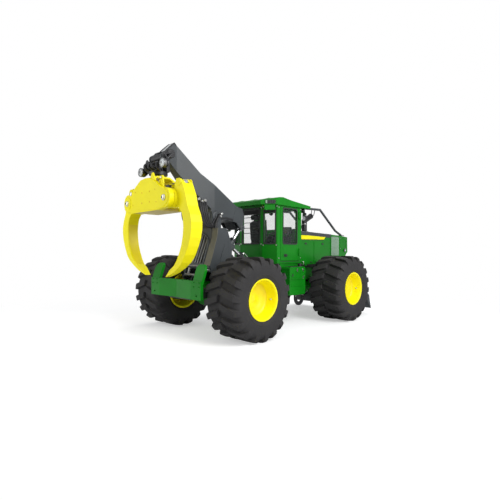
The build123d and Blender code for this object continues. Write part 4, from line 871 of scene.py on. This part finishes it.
def exhaust_details():
    """Clamp ring, collar and open mouth of the stack."""
    x, y = 1.64, -0.30
    clamp = [(0.0805, -0.012), (0.088, -0.008), (0.088, 0.008), (0.0805, 0.012)]
    lathe("stack_clamps", clamp, (x, y, 2.747), UP, 36, STEEL, "front")
    collar = [(0.15, 0.0), (0.15, 0.02), (0.11, 0.05), (0.082, 0.06)]
    lathe("stack_collar", collar, (x, y, 2.487), UP, 36, BLACK, "front", smooth=50)
    mouth = [(0.0, -0.10), (0.062, -0.10), (0.068, 0.004), (0.084, 0.006), (0.084, -0.03), (0.0802, -0.034)]
    lathe("stack_mouth", mouth, (1.97, y, 3.01), (0.33, 0, 0.16), 36, TRIM, "front", capped=False)


def guard_details():
    """Straps and bolted feet of the brush guard's tubes, and a lead looped under its corner."""
    straps = Piece()
    ring = ((0.036, -0.035), (0.047, -0.03), (0.047, 0.03), (0.036, 0.035))
    for y in (-0.58, 0.58):
        straps.turned(ring, (1.215, y, 3.17), (1, 0, 0.02), 20)
        straps.box((3.20, 3.36), about(y, 0.06), (2.438, 2.452))
    straps.done("guard_straps", BLACK, "front", bevel=0.003)
    bolts("guard_bolts", deck_face(2.452), (3.23, 3.33), (-0.62, -0.54, 0.54, 0.62), "front")
    lead = [(1.70, -0.52, 3.15), (1.72, -0.50, 3.02), (1.78, -0.48, 2.98)]
    lead += [(1.84, -0.50, 3.03), (1.86, -0.52, 3.16)]
    bent("guard_lead", lead, 0.011, BLACK, "front")


# Tank and step boxes

BOX_SIDE = 1.02
BOX_TOP = 1.52


def step_details(side, name):
    """Bands, lid, hole, clips, cleats and filler of a box, the pulls above it and the bolts below it."""
    face = side_face(side, BOX_SIDE)
    seams = Piece()
    for z in (0.92, 1.10, 1.33):
        seams.box((0.036, 0.714), outward(side, 0.76, BOX_SIDE + 0.002), (z, z + 0.006))
    seams.done(f"tank_seams_{name}", GREEN, "front", bevel=0.001)
    bead(f"tank_lid_{name}", face, (0.30, 0.66), (1.36, 1.50), 0.012, 0.03, 0.025, 0.006, "front")
    hole = [(0.001, -0.001), (0.03, 0.001), (0.036, 0.004), (0.036, -0.004)]
    lathe(f"tank_hole_{name}", hole, face.at(0.16, 1.30), face.out, 24, BLACK, "front", capped=False)
    clips = Piece()
    for u, z in ((0.35, 1.43), (0.60, 1.43), (0.62, 1.24)):
        clips.slab(face, rounded(about(u, 0.022), about(z, 0.035), 0.008), 0.0, 0.016)
        clips.rod(face.at(u - 0.018, z + 0.03, 0.018), face.at(u + 0.018, z + 0.03, 0.018), 0.006, 10)
    clips.done(f"tank_clips_{name}", STEEL, "front", bevel=0.002)
    cleats = Piece()
    for i in range(10):
        for j in range(3):
            at = (0.10 + 0.058 * i, side * (0.84 + 0.065 * j), BOX_TOP)
            cleats.turned([(0.018, 0.0), (0.018, 0.005), (0.012, 0.012), (0.008, 0.012)], at, UP, 10)
    cleats.done(f"tread_cleats_{name}", BLACK, "front")
    cap = [(0.055, -0.01), (0.055, 0.03), (0.062, 0.035), (0.062, 0.075), (0.05, 0.085)]
    lathe(f"filler_cap_{name}", cap, (0.60, side * 0.92, BOX_TOP), UP, 28, BLACK, "front")
    pulls = Piece()
    hood = side_face(side, HOOD_SIDE)
    for u, z in ((0.823, 1.66), (1.086, 1.54), (1.117, 1.29)):
        path = [hood.at(u, z + rise, out) for rise, out in ((0, 0), (0.01, 0.06), (0.10, 0.06), (0.11, 0))]
        pulls.tube(smooth_path(path, 6), 0.010)
    pulls.done(f"bay_pulls_{name}", STEEL, "front", smooth=60)
    bolts(f"loop_bolts_{name}", side_face(side, 0.99), (0.32, 0.36, 0.62, 0.66), (0.755,), "front", 0.011)


# Blade

# the back of the mouldboard: x at a height, and how it changes with the rise above that height
BOARD_Z = 0.60
BOARD_X = 3.505
BOARD_LEAN = -0.2222
BOARD_BEND = 0.1728


def blade_details():
    """Bolted cutting edge and wear plate, ribs on the back of the blade, and its rounded top."""
    edge = [(3.600, 0.152), (3.632, 0.152), (3.612, 0.300), (3.596, 0.300)]
    Piece().upright(edge, -1.44, 1.44).done("cutting_edge", WORN, "blade", bevel=0.002)
    heads = Piece()
    for k in range(15):
        heads.bolt((3.612, -1.36 + k * 0.1943, 0.245), (1, 0, 0.15), 0.014, 0.012)
    heads.done("edge_bolts", WORN, "blade")
    rows = []
    for z in (0.40, 0.50, 0.60, 0.70, 0.80, 0.88):
        rise = z - BOARD_Z
        x = BOARD_X + BOARD_LEAN * rise + BOARD_BEND * rise * rise
        places = ((x - 0.004, -1.08), (x - 0.004, 1.08), (x + 0.026, 1.07), (x + 0.026, -1.07))
        rows.append([(u, y, z) for u, y in places])
    Piece().rings(rows).done("blade_liner", CHARCOAL, "blade", bevel=0.004)
    heads = Piece()
    for z, x in ((0.45, 3.568), (0.83, 3.486)):
        for k in range(9):
            heads.bolt((x, -0.96 + 0.24 * k, z), (1, 0, 0.2), 0.016, 0.010)
    heads.done("liner_bolts", WORN, "blade")
    ribs = Piece()
    for y in (-1.30, -0.98, -0.26, 0.26, 0.98, 1.30):
        section = [(3.405, 0.34), (3.33, 0.44), (3.33, 0.84), (3.40, 0.98), (3.42, 0.70)]
        ribs.upright(section, *about(y, 0.018))
    ribs.done("blade_ribs", CHARCOAL, "blade", bevel=0.004)
    Piece().rod((3.425, -1.20, 1.045), (3.425, 1.20, 1.045), 0.022, 16).done("blade_lip", CHARCOAL, "blade")


# Rear machinery: pivots as (x, z), in the frame's metres

ARCH_PIN = (-2.010, 1.150)
BOOM_PIN = (-1.910, 2.740)
HANG = (-3.260, 3.930)
RAIL_TOP = 1.450
winch_low, winch_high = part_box("winch")
WINCH = ((winch_low.x + winch_high.x) / 2, RAIL_TOP + 0.230)
ROPE_TURNS = 10
ROPE_STEPS = 22


def winch_details():
    """Rope on the drum, bolted ends and drive of the winch."""
    x, z = WINCH
    count = ROPE_STEPS * ROPE_TURNS
    turns = circle(ROPE_STEPS, 0.139) * ROPE_TURNS
    path = [(x + u, -0.13 + 0.26 * k / count, z + v) for k, (u, v) in enumerate(turns)]
    Piece().tube(path, 0.0105, 8).done("winch_rope", ROPE, "rear", smooth=60)
    caps = Piece()
    for side, _ in SIDES:
        y, out = side * 0.18, (0, side, 0)
        caps.turned([(0.10, 0), (0.10, 0.02), (0.06, 0.035), (0.03, 0.037)], (x, y, z), out, 32)
        for u, v in circle(8, 0.15):
            caps.bolt((x + u, y, z + v), out, 0.012, 0.012)
    caps.done("winch_caps", CHARCOAL, "rear")
    drive = (x + 0.22, x + 0.45)
    block("winch_drive", drive, (-0.20, 0.20), (RAIL_TOP, RAIL_TOP + 0.20), CHARCOAL, "rear", 0.02, 3)


def rear_details():
    """Bumper seams and bolts, hoses over the hinge, valve bank, and plates on the rails."""
    seams = Piece()
    for side, _ in SIDES:
        seams.box((-2.828, -2.818), outward(side, 0.66, 0.92), (0.99, 1.02))
    seams.done("post_seams", GREEN, "rear", bevel=0.003)
    bolts("bumper_bolts", end_face(-2.83), (-0.88, -0.70, 0.70, 0.88), (1.17, 1.26), "rear", material=GREEN)
    for k, (y, lift) in enumerate(((-0.10, 0.0), (-0.035, 0.03), (0.035, 0.03), (0.10, 0.0))):
        path = [(-0.62, y, 1.52), (-0.45, y, 1.53 + lift), (-0.18, y * 1.3, 1.60 + lift)]
        path += [(0.0, y * 1.6, 1.62 + lift), (0.16, y * 1.3, 1.56 + lift), (0.26, y, 1.50), (0.30, y, 1.475)]
        tube = bent(f"hinge_hose_{k}", path, 0.020, HOSE, None)
        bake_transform(tube)
    clamp = (RAIL_TOP, RAIL_TOP + 0.06)
    block("hose_clamp_rear", (-0.66, -0.56), (-0.16, 0.16), clamp, CHARCOAL, "rear", 0.006)
    bank = (RAIL_TOP, RAIL_TOP + 0.16)
    block("valve_bank", (-1.02, -0.72), (-0.22, 0.22), bank, CHARCOAL, "rear", 0.008)
    spools = Piece()
    for k in range(6):
        at = (-0.87, -0.18 + 0.072 * k, bank[1])
        spools.turned([(0.022, 0), (0.022, 0.04), (0.014, 0.045), (0.014, 0.07)], at, UP, 16)
    spools.done("valve_caps", STEEL, "rear")
    for side, name in SIDES:
        face = side_face(side, 0.40)
        plate = rounded((-1.10, -0.62), (1.16, 1.40), 0.04)
        patch(f"rail_plate_{name}", face, plate, -0.002, 0.012, GREEN, "rear", 0.003)
        bolts(f"rail_bolts_{name}", face.moved(0.012), (-1.05, -0.67), (1.20, 1.36), "rear")


# Arch

# rear edge of the arch's panel and side plates, from the arch's pivot
ARCH_BACK = ((-0.29, 0.45), (-0.20, 0.71), (-0.08, 1.09), (-0.05, 1.31))
WINDOW_HALF = 0.345
WINDOW_FOOT = 0.50
WINDOW_SPRING = 0.93
WINDOW_RISE = 0.275


def panel_x(v):
    """Rear face of the arch's panel at a height above the arch's pivot."""
    v = min(max(v, ARCH_BACK[0][1]), ARCH_BACK[-1][1])
    for (x0, v0), (x1, v1) in zip(ARCH_BACK, ARCH_BACK[1:]):
        if v <= v1:
            return ARCH_PIN[0] + x0 + (x1 - x0) * (v - v0) / (v1 - v0)


def arch_place(u, v, y):
    """Place from the arch's pivot."""
    return (ARCH_PIN[0] + u, y, ARCH_PIN[1] + v)


def arch_side(side, name):
    """Pin bosses, folded edge strip in paler charcoal as a painted highlight, and stiffener of a side plate.
    """
    pin_x, pin_z = ARCH_PIN
    face = side_face(side, 0.60)
    boss = Piece()
    cover = [(0.13, 0.0), (0.13, 0.012), (0.115, 0.022), (0.075, 0.024)]
    boss.turned(cover, face.at(pin_x, pin_z), face.out, 40)
    for u, v in circle(6, 0.095):
        boss.bolt(face.at(pin_x + u, pin_z + v, 0.02), face.out, 0.011, 0.012)
    boss.done(f"arch_boss_{name}", CHARCOAL, "arch", bevel=0.002)
    neck = side_face(side, 0.365)
    cap = Piece()
    cap.turned([(0.12, 0.0), (0.12, 0.012), (0.105, 0.02), (0.058, 0.022)], neck.at(*BOOM_PIN), neck.out, 40)
    cap.turned([(0.05, 0.0), (0.05, 0.022), (0.038, 0.030)], neck.at(*BOOM_PIN, 0.012), neck.out, 32)
    cap.done(f"neck_boss_{name}", CHARCOAL, "arch", bevel=0.002)
    # strip along the rear edge in paler charcoal: painted highlight where the folded edge catches the light
    y0, y1 = side * 0.40, side * 0.602
    rows = [[arch_place(u - 0.012, v, y0), arch_place(u - 0.012, v, y1),
             arch_place(u + 0.004, v, y1), arch_place(u + 0.004, v, y0)] for u, v in ARCH_BACK]
    Piece().rings(rows).done(f"arch_strip_{name}", HIGHLIGHT_CHARCOAL, "arch", bevel=0.003)
    plate = [(0.0, 0.20), (0.16, 0.14), (0.30, 0.50), (0.30, 0.86), (0.16, 0.94), (0.02, 0.60)]
    outline = [(pin_x + u, pin_z + v) for u, v in plate]
    patch(f"arch_patch_{name}", face, outline, -0.002, 0.010, CHARCOAL, "arch", 0.003)


def arch_window():
    """Black plates as painted shade behind the barred window and under the boom's pin, and the window's
    rolled rim and bars.
    """
    # black plates stand in for the shade inside the arch and under the boom's pin
    shade_plates = Piece()
    rows = []
    for v in (0.46, 0.71, 1.09, 1.24):
        x, z = panel_x(v) + 0.055, ARCH_PIN[1] + v
        rows.append([(u, y, z) for u, y in ((x, -0.37), (x, 0.37), (x + 0.010, 0.37), (x + 0.010, -0.37))])
    shade_plates.rings(rows)
    shade_plates.box((-1.955, -1.940), (-0.31, 0.31), (2.40, 2.64))
    shade_plates.done("arch_shade_plates", BLACK, "arch")

    def on_panel(y, v):
        return (panel_x(v) - 0.008, y, ARCH_PIN[1] + v)

    crown = [(WINDOW_HALF * u, WINDOW_SPRING + WINDOW_RISE * v) for u, v in circle(24)[:13]]
    loop = [(WINDOW_HALF, WINDOW_FOOT)] + crown + [(-WINDOW_HALF, WINDOW_FOOT)]
    path = [on_panel(*place) for place in loop]
    Piece().tube(path, 0.022, 12).done("window_rim", CHARCOAL, "arch", smooth=60)
    bars = Piece()
    for k in range(7):
        y = -0.27 + 0.09 * k
        top = WINDOW_SPRING + WINDOW_RISE * math.sqrt(1 - (y / WINDOW_HALF) ** 2)
        bars.rod(on_panel(y + 0.03, WINDOW_FOOT), on_panel(y - 0.02, top), 0.016, 12)
    bars.done("window_bars", WORN, "arch")


def fairlead():
    """Two upright and two level rollers in a frame below the window."""
    rollers = Piece()
    for y in (-0.17, 0.17):
        rollers.rod(arch_place(-0.30, 0.22, y), arch_place(-0.24, 0.43, y), 0.038, 24)
    for u, v in ((-0.33, 0.22), (-0.2712, 0.43)):
        rollers.rod(arch_place(u, v, -0.24), arch_place(u, v, 0.24), 0.036, 24)
    rollers.done("fairlead_rollers", WORN, "arch")
    cheeks = Piece()
    for y in (-0.27, 0.27):
        corners = ((-0.36, 0.18), (-0.22, 0.18), (-0.16, 0.47), (-0.30, 0.47))
        outline = [arch_place(u, v, y) for u, v in corners]
        cheeks.upright([(x, z) for x, _, z in outline], *about(y, 0.014))
    cheeks.done("fairlead_frame", CHARCOAL, "arch", bevel=0.004)


def arch_hoses():
    """Hoses up inside the arch, with a crimped steel fitting at each end."""
    radius = 0.020
    crimp = ((radius * 0.9, -0.02), (radius * 1.35, -0.016), (radius * 1.35, 0.05), (radius * 1.15, 0.056))
    for k, (y, bow) in enumerate(((-0.46, 0.0), (-0.50, 0.06), (-0.42, 0.10), (0.46, 0.0), (0.42, 0.08))):
        path = [arch_place(0.12, 0.50, y), arch_place(-0.02 - bow, 0.80, y)]
        path += [arch_place(0.02 - bow, 1.12, y * 0.97)]
        path += [arch_place(0.06 - bow, 1.40, y * 0.93), arch_place(0.12, 1.62, y * 0.92)]
        path += [arch_place(0.20, 1.66, y * 0.90)]
        bent(f"arch_hose_{k}", path, radius, HOSE, "arch", 7)
        soft = smooth_path(path, 7)
        ends = Piece()
        for end, towards in ((soft[0], soft[1]), (soft[-1], soft[-2])):
            ends.turned(crimp, end, towards - end, 16)
        ends.done(f"arch_hose_{k}_fittings", STEEL, "arch")


# Boom

NOSE_TOP = Vector((BOOM_PIN[0] - 1.01, 0, BOOM_PIN[1] + 1.565))
NOSE_LOW = Vector((BOOM_PIN[0] - 1.225, 0, BOOM_PIN[1] + 1.36))


def boom_side(side, name):
    """Weld seam, flange in black as painted shade along the underside, doubler and pin cap on a side of the
    boom, and the lip of its nose.
    """
    px, pz = BOOM_PIN
    face = side_face(side, 0.30)
    seam = [(0.602, -0.03), (0.616, -0.03), (0.70, 0.285), (0.686, 0.292)]
    # flange along the lower edge in black: painted shade of the boom's underside
    flange = [(-0.02, 0.13), (0.10, -0.06), (0.39, -0.035), (0.60, -0.065)]
    flange += [(0.60, -0.02), (0.38, 0.012), (0.12, -0.012), (0.02, 0.15)]
    # name, outline from the pin, thickness, material and bevel
    rows = (("seam", seam, 0.005, CHARCOAL, 0.002), ("flange", flange, 0.016, BLACK, 0.004))
    for tag, places, thick, material, bevel in rows:
        outline = [(px + u, pz + v) for u, v in places]
        patch(f"boom_{tag}_{name}", face, outline, -0.004, thick, material, "boom", bevel)
    disc = [(0.17, -0.002), (0.17, 0.010), (0.16, 0.014), (0.058, 0.014)]
    lathe(f"boom_doubler_{name}", disc, face.at(px, pz + 0.02), face.out, 48, CHARCOAL, "boom", 0.002)
    cap = Piece()
    cap.turned([(0.075, -0.002), (0.075, 0.012), (0.06, 0.018)], face.at(px + 0.92, pz - 0.22), face.out, 32)
    cap.bolt(face.at(px + 0.92, pz - 0.22, 0.016), face.out, 0.018, 0.014)
    cap.done(f"boom_eye_cap_{name}", CHARCOAL, "boom")
    y = side * 0.106
    lip = [NOSE_LOW + Vector((-0.004, y, -0.03)), NOSE_LOW + Vector((-0.008, y, 0.01))]
    lip += [NOSE_TOP + Vector(step) for step in ((-0.025, y, -0.012), (0.0, y, 0.0), (0.035, y, -0.030))]
    bent(f"nose_lip_{name}", lip, 0.014, BLACK, "boom", 6, 12)


def boom_nose():
    """Bright end plate of the nose in pale metal, a painted highlight of the end face, and the dark sleeves
    of the tube behind it.
    """
    run = NOSE_TOP - NOSE_LOW
    face = Face(NOSE_LOW, ACROSS, run, (-run.z, 0, run.x))
    plate = rounded((-0.090, 0.090), (0.01, run.length - 0.015), 0.01)
    # pale plate stands in for the highlight on the nose's end face
    patch("nose_plate", face, plate, -0.002, 0.010, PAINTED_HIGHLIGHT, "boom", 0.002)
    profile = ((0.03, 0.0), (0.095, 0.0), (0.100, 0.01), (0.100, 0.155), (0.092, 0.165), (0.03, 0.168))
    sleeves = Piece()
    for side, _ in SIDES:
        sleeves.turned(profile, (HANG[0] + 0.15, side * 0.115, HANG[1] + 0.09), (0, side, 0), 36)
    sleeves.done("nose_sleeves", BLACK, "boom", smooth=45)


def boom_hoses(side, name, count):
    """Hoses that loop from the arch's neck into a side of the boom, with their ends and a fitting."""
    for k in range(count):
        bow = 0.055 * k
        path = [(-1.99, side * 0.40, 2.43 + 0.02 * k)]
        steps = ((-2.10, 0.43, 2.50), (-2.20, 0.44, 2.66), (-2.25, 0.43, 2.84))
        steps += ((-2.24, 0.38, 2.99), (-2.19, 0.30, 3.06))
        path += [(x - bow, side * y, z) for x, y, z in steps]
        tube = bent(f"boom_hose_{name}_{k}", path, 0.026, HOSE, None, 8, 16)
        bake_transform(tube)
    ends = Piece()
    for x, z in ((-2.40, 3.11), (-2.31, 3.06), (-2.22, 3.09)):
        profile = ((0.030, 0.0), (0.036, 0.01), (0.036, 0.05), (0.026, 0.058))
        ends.turned(profile, (x, side * 0.295, z), (0, side, 0), 20)
    ends.done(f"boom_hose_ends_{name}", STEEL, "boom", bevel=0.002)
    fitting = Piece().rod((-1.87, side * 0.395, 2.81), (-1.79, side * 0.395, 2.73), 0.028, 20)
    fitting.done(f"neck_fitting_{name}", STEEL, "arch", bevel=0.006)


def boom_pipes():
    """Pipes along the top of the boom with their clamps."""
    px, pz = BOOM_PIN
    pipes = Piece()
    for y in (-0.045, 0.0, 0.045):
        line = ((-0.93, 1.52), (-0.37, 1.002), (0.10, 0.709), (0.66, 0.358))
        pipes.tube([(px + u, y, pz + v) for u, v in line], 0.014, 10)
    pipes.done("boom_pipes", STEEL, "boom", smooth=60)
    clamps = Piece()
    for u, v in ((-0.70, 1.305), (-0.37, 0.998), (0.05, 0.735), (0.45, 0.485)):
        clamps.box(about(px + u, 0.02), (-0.08, 0.08), (pz + v - 0.01, pz + v + 0.034))
    clamps.done("boom_clamps", BLACK, "boom", bevel=0.003)


def from_hang(x, y, z):
    """Place from the pivot that the head hangs on."""
    return Vector((HANG[0] + x, y, HANG[1] + z))


def work_lamp(side, name, drop, lift):
    """Carrier plate and conduit of a lamp, its bezel, glass, core, back, fins and wire."""
    plate = [(0.27, 3.88), (0.31, 3.93), (0.36, 3.93), (0.46, 3.76), (0.46, 3.64), (0.38, 3.58), (0.27, 3.64)]
    outline = [(side * y, z + lift) for y, z in plate]
    patch(f"lamp_plate_{name}", end_face(-3.34), outline, -0.016, 0.0, BLACK, "boom", 0.004)
    arm = [from_hang(0.13, side * 0.26, 0.06), from_hang(0.0, side * 0.30, lift - 0.03)]
    arm += [from_hang(-0.09, side * 0.34, lift - 0.12), from_hang(-0.10, side * 0.40, lift - 0.22)]
    bent(f"lamp_conduit_{name}", arm, 0.030, BLACK, "boom", 7, 16)
    at = from_hang(-0.18, side * 0.42, -drop)
    back = (-1, 0, 0)
    bezel = [(0.080, -0.004), (0.084, 0.010), (0.097, 0.008), (0.0985, -0.02), (0.0955, -0.055)]
    lathe(f"lamp_bezel_{name}", bezel, at, back, 40, WORN, "boom", smooth=50, capped=False)
    glass = [(0.083, 0.0), (0.072, 0.012), (0.040, 0.020), (0.001, 0.022)]
    lathe(f"lamp_glass_{name}", glass, at, back, 40, LENS, "boom", smooth=60, capped=False)
    core = Piece().turned([(0.030, 0.018), (0.026, 0.027), (0.001, 0.028)], at, back, 24, capped=False)
    for y, z in circle(10):
        start, end = Vector((-0.017, 0.035 * y, 0.035 * z)), Vector((-0.011, 0.078 * y, 0.078 * z))
        core.rod(at + start, at + end, 0.004, 6)
    core.done(f"lamp_core_{name}", WORN, "boom")
    shell = [(0.0955, 0.0), (0.085, 0.03), (0.05, 0.05), (0.03, 0.052)]
    lathe(f"lamp_back_{name}", shell, at + Vector((0.08, 0, 0)), FORWARD, 32, BLACK, "boom", smooth=50)
    fins = Piece()
    for k in range(5):
        fins.box((at.x + 0.085, at.x + 0.145), about(at.y - 0.05 + 0.025 * k, 0.004), about(at.z, 0.05))
    fins.done(f"lamp_fins_{name}", BLACK, "boom")
    path = [at + Vector((0.13, 0, 0.01)), at + Vector((0.20, -side * 0.05, 0.08))]
    path += [from_hang(0.08, side * 0.30, 0.02), from_hang(0.20, side * 0.25, 0.10)]
    bent(f"lamp_wire_{name}", path, 0.008, HOSE, "boom", 7, 8)


def swivel_details():
    """Thick hoses and blocks of the swivel, which swing with the fork."""
    spread = ((-0.20, 0.06), (-0.13, 0.12), (-0.06, 0.15), (0.06, 0.15), (0.13, 0.12), (0.20, 0.06))
    for k, (y, bow) in enumerate(spread):
        path = [from_hang(-0.10, y * 0.9, -0.15), from_hang(-0.12 - bow, y, -0.17)]
        path += [from_hang(-0.12 - bow, y * 1.1, -0.24), from_hang(-0.09, y * 1.05, -0.31)]
        bent(f"nose_hose_{k}", path, 0.024, HOSE, "rotator")
    for dx, name in ((-0.13, "rear"), (0.13, "front")):
        x = about(HANG[0] + dx, 0.045)
        block(f"swivel_block_{name}", x, (-0.19, 0.19), (3.62, 3.775), BLACK, "rotator", 0.018, 3)


# Hanging head, which is turned a little about the rotator's upright axis

HEAD_TURN = math.radians(-3.5)
HEAD_U = Vector((math.cos(HEAD_TURN), math.sin(HEAD_TURN), 0))
HEAD_V = Vector((-math.sin(HEAD_TURN), math.cos(HEAD_TURN), 0))
HEAD_HALF = 0.31
TONG_PIN = (0.80, 2.98)
ARM_PIN = (1.04, 3.28)


def head_point(dx, y, z):
    """Place on the hanging head, from the rotator's axis."""
    return Vector((HANG[0], 0, z)) + dx * HEAD_U + y * HEAD_V


def head_face(dx, away=-1):
    """Upright face across the hanging head: u is its own y and v is z."""
    return Face(head_point(dx, 0, 0), HEAD_V, UP, HEAD_U * away)


def head_pins():
    """Hub plate, washers and centre mark at both ends of the tongs' pins."""
    for side, name in SIDES:
        for away, end, reach in ((-1, "rear", 0.04), (1, "front", 0.0)):
            face = head_face(away * HEAD_HALF, away)
            at = face.at(side * TONG_PIN[0], TONG_PIN[1])
            tag = f"{end}_{name}"
            hub = [(0.150, -0.002), (0.150, 0.010), (0.140, 0.016), (0.048, 0.016)]
            lathe(f"hub_plate_{tag}", hub, at, face.out, 48, YELLOW, "grapple_head", 0.003)
            washer = Piece()
            washer.turned([(0.062, 0.014), (0.062, 0.030), (0.052, 0.036), (0.046, 0.036)], at, face.out, 32)
            washer.turned([(0.046, reach), (0.046, reach + 0.010), (0.036, reach + 0.016)], at, face.out, 32)
            washer.done(f"pin_washer_{tag}", STEEL, "grapple_head")
            mark = [(0.018, reach + 0.014), (0.018, reach + 0.019)]
            lathe(f"pin_centre_{tag}", mark, at, face.out, 20, BLACK, "grapple_head")


def head_details():
    """Cover plate with its bolts, lugs round the rotator, valve, and a tan underside of the hanging head as
    painted shade.
    """
    rear = head_face(-HEAD_HALF)
    cover = [(0.55, 2.86), (0.568, 3.04), (0.416, 3.30), (0.276, 3.394), (0.19, 3.435), (0.0, 3.455)]
    cover += [(-0.20, 3.445), (-0.43, 3.345), (-0.62, 3.225), (-0.80, 3.17), (-0.86, 3.12), (-0.80, 2.80)]
    cover += [(-0.56, 2.77), (0.45, 2.80)]
    patch("head_cover", rear, cover, -0.002, 0.014, YELLOW, "grapple_head", 0.006, 3)
    skin = rear.moved(0.014)
    bolts("cover_bolts", skin, (0.11, -0.22), (3.16, 2.94), "grapple_head", 0.013, 0.010, GOLD)
    heads = Piece()
    for u, v in ((0.53, 2.93), (0.42, 3.20), (-0.44, 3.18), (-0.50, 2.92)):
        heads.bolt(skin.at(u, v), skin.out, 0.010, 0.009)
    heads.done("cover_edge_bolts", GOLD, "grapple_head")
    washer = [(0.045, 0.0), (0.045, 0.014), (0.03, 0.022)]
    lathe("head_washer", washer, rear.at(0.66, 3.19, -0.002), rear.out, 28, STEEL, "grapple_head")
    # name, distance from the middle, y, foot, top, half width at the foot and at the top
    lugs = (
        ("point", -0.285, -0.29, 3.37, 3.545, 0.130, 0.022),
        ("pin", -0.17, -0.45, 3.30, 3.480, 0.095, 0.050),
        ("hose", -0.22, -0.56, 3.21, 3.370, 0.060, 0.050),
        ("far", 0.25, 0.10, 3.37, 3.545, 0.085, 0.030),
    )
    for tag, dx, y, foot, top, wide, narrow in lugs:
        outline = [(y - wide, foot), (y + wide, foot), (y + narrow, top), (y - narrow, top)]
        patch(f"crown_lug_{tag}", head_face(dx, 1), outline, -0.018, 0.018, YELLOW, "grapple_head", 0.014, 3)
    eye = [(0.030, -0.03), (0.030, 0.03), (0.020, 0.038)]
    lathe("crown_pin", eye, head_face(-0.17).at(-0.45, 3.435), -HEAD_U, 24, STEEL, "grapple_head")
    valve = (HANG[0] - 0.27, HANG[0] - 0.20)
    block("head_valve", valve, (-0.80, -0.68), (3.15, 3.24), BLACK, "grapple_head", 0.01)
    # belly in tan: painted shade under the head
    corners = square((-0.30, 0.30), (-0.50, 0.50))
    belly = Piece().rings([[head_point(dx, y, z) for dx, y in corners] for z in (2.752, 2.80)])
    belly.done("head_belly", SHADED_UNDERSIDE, "grapple_head", bevel=0.004)


def tong_details(side, name):
    """Caps of the cylinder's pin, and a darker golden strip inside a tong, painted shade on its inner face.
    """
    body = f"tong_{name}"
    for away, tag in ((-1, "rear"), (1, "front")):
        at = head_point(away * 0.125, side * ARM_PIN[0], ARM_PIN[1])
        out = HEAD_U * away
        cap = Piece().turned([(0.075, -0.002), (0.075, 0.010), (0.062, 0.016)], at, out, 32)
        cap.bolt(at + out * 0.014, out, 0.020, 0.016)
        cap.done(f"arm_cap_{tag}_{name}", YELLOW, body, bevel=0.002)
    # inner face of the tong, from its pin, in darker golden as painted shade
    line = ((0.375, -0.44), (0.393, -0.59), (0.375, -0.76), (0.33, -0.93), (0.26, -1.08))
    line += ((0.17, -1.22), (0.02, -1.35))
    rows = []
    for u, v in line:
        half = 0.085 + 0.030 * (v + 1.35) / 0.9
        outer, inner = side * (TONG_PIN[0] + u + 0.004), side * (TONG_PIN[0] + u - 0.010)
        places = ((-half, outer), (half, outer), (half, inner), (-half, inner))
        rows.append([head_point(dx, y, TONG_PIN[1] + v) for dx, y in places])
    Piece().rings(rows).done(f"inner_shade_strip_{name}", PAINTED_SHADE_GOLD, body, bevel=0.002)


# Hydraulic cylinders

# body, base pin and eye as (x, z), distance from the middle, barrel's radius and length, rod's radius
PAIRED_CYLINDERS = (
    ("arch_barrels", (-0.700, 1.430), (-1.560, 2.030), 0.500, 0.075, 0.720, 0.042),
    ("boom_barrels", (-1.760, 1.550), (-0.990, 2.500), 0.215, 0.075, 0.860, 0.042),
    ("blade_barrels", (2.600, 1.400), (3.270, 0.800), 0.700, 0.060, 0.520, 0.035),
)


def cylinder_details(body, tag, start, end, radius, length, rod_r):
    """Gland, ports and pipe of a cylinder between its base pin and its eye."""
    start = Vector(start)
    axis = (Vector(end) - start).normalized()
    side = axis.cross(Vector(ACROSS))
    if side.z < 0:
        side = -side
    gland = [(radius + 0.009, -0.058), (radius + 0.013, -0.054), (radius + 0.013, -0.006)]
    gland += [(radius + 0.004, -0.001)]
    gland += [(rod_r + 0.002, 0.0), (rod_r + 0.002, 0.008)]
    lathe(f"gland_{tag}", gland, start + axis * length, axis, 40, BLACK, body, smooth=35)
    ports = Piece()
    for along in (0.20, length - 0.10):
        foot = start + axis * along + side * (radius - 0.006)
        ports.turned([(0.026, 0), (0.026, 0.03), (0.018, 0.034), (0.018, 0.05)], foot, side, 16)
    ports.done(f"ports_{tag}", STEEL, body)
    if body == "boom_barrels":
        return
    route = ((length - 0.10, 0.040), (length - 0.16, 0.055), (0.34, 0.030), (0.26, 0.022))
    path = [start + axis * along + side * (radius + off) for along, off in route]
    bent(f"pipe_{tag}", path, 0.010, STEEL, body, 7, 10)


cab_ends()
roof_details()
seat_details()
dash_details()
hood_cover()
nose_front()
exhaust_details()
guard_details()
blade_details()
winch_details()
rear_details()
arch_window()
fairlead()
arch_hoses()
boom_nose()
boom_pipes()
swivel_details()
head_pins()
head_details()
for side, name in SIDES:
    cab_corner(side, name)
    cab_side(side, name)
    hood_side(side, name)
    step_details(side, name)
    arch_side(side, name)
    boom_side(side, name)
    tong_details(side, name)
    for body, base, eye, y, *sizes in PAIRED_CYLINDERS:
        start, end = (base[0], side * y, base[1]), (eye[0], side * y, eye[1])
        cylinder_details(body, f"{body}_{name}", start, end, *sizes)
    steering = f"steer_barrel_{name}"
    start, end = (1.150, side * 0.470, 1.0), (-0.120, side * 0.460, 1.0)
    cylinder_details(steering, steering, start, end, 0.055, 0.760, 0.030)
boom_hoses(-1, "right", 4)
boom_hoses(1, "left", 2)
work_lamp(-1, "right", 0.18, 0.095)
work_lamp(1, "left", 0.275, 0.0)
start, end = head_point(0, ARM_PIN[0], ARM_PIN[1]), head_point(0, -ARM_PIN[0], ARM_PIN[1])
cylinder_details("grapple_barrel", "grapple_barrel", start, end, 0.064, 1.060, 0.036)
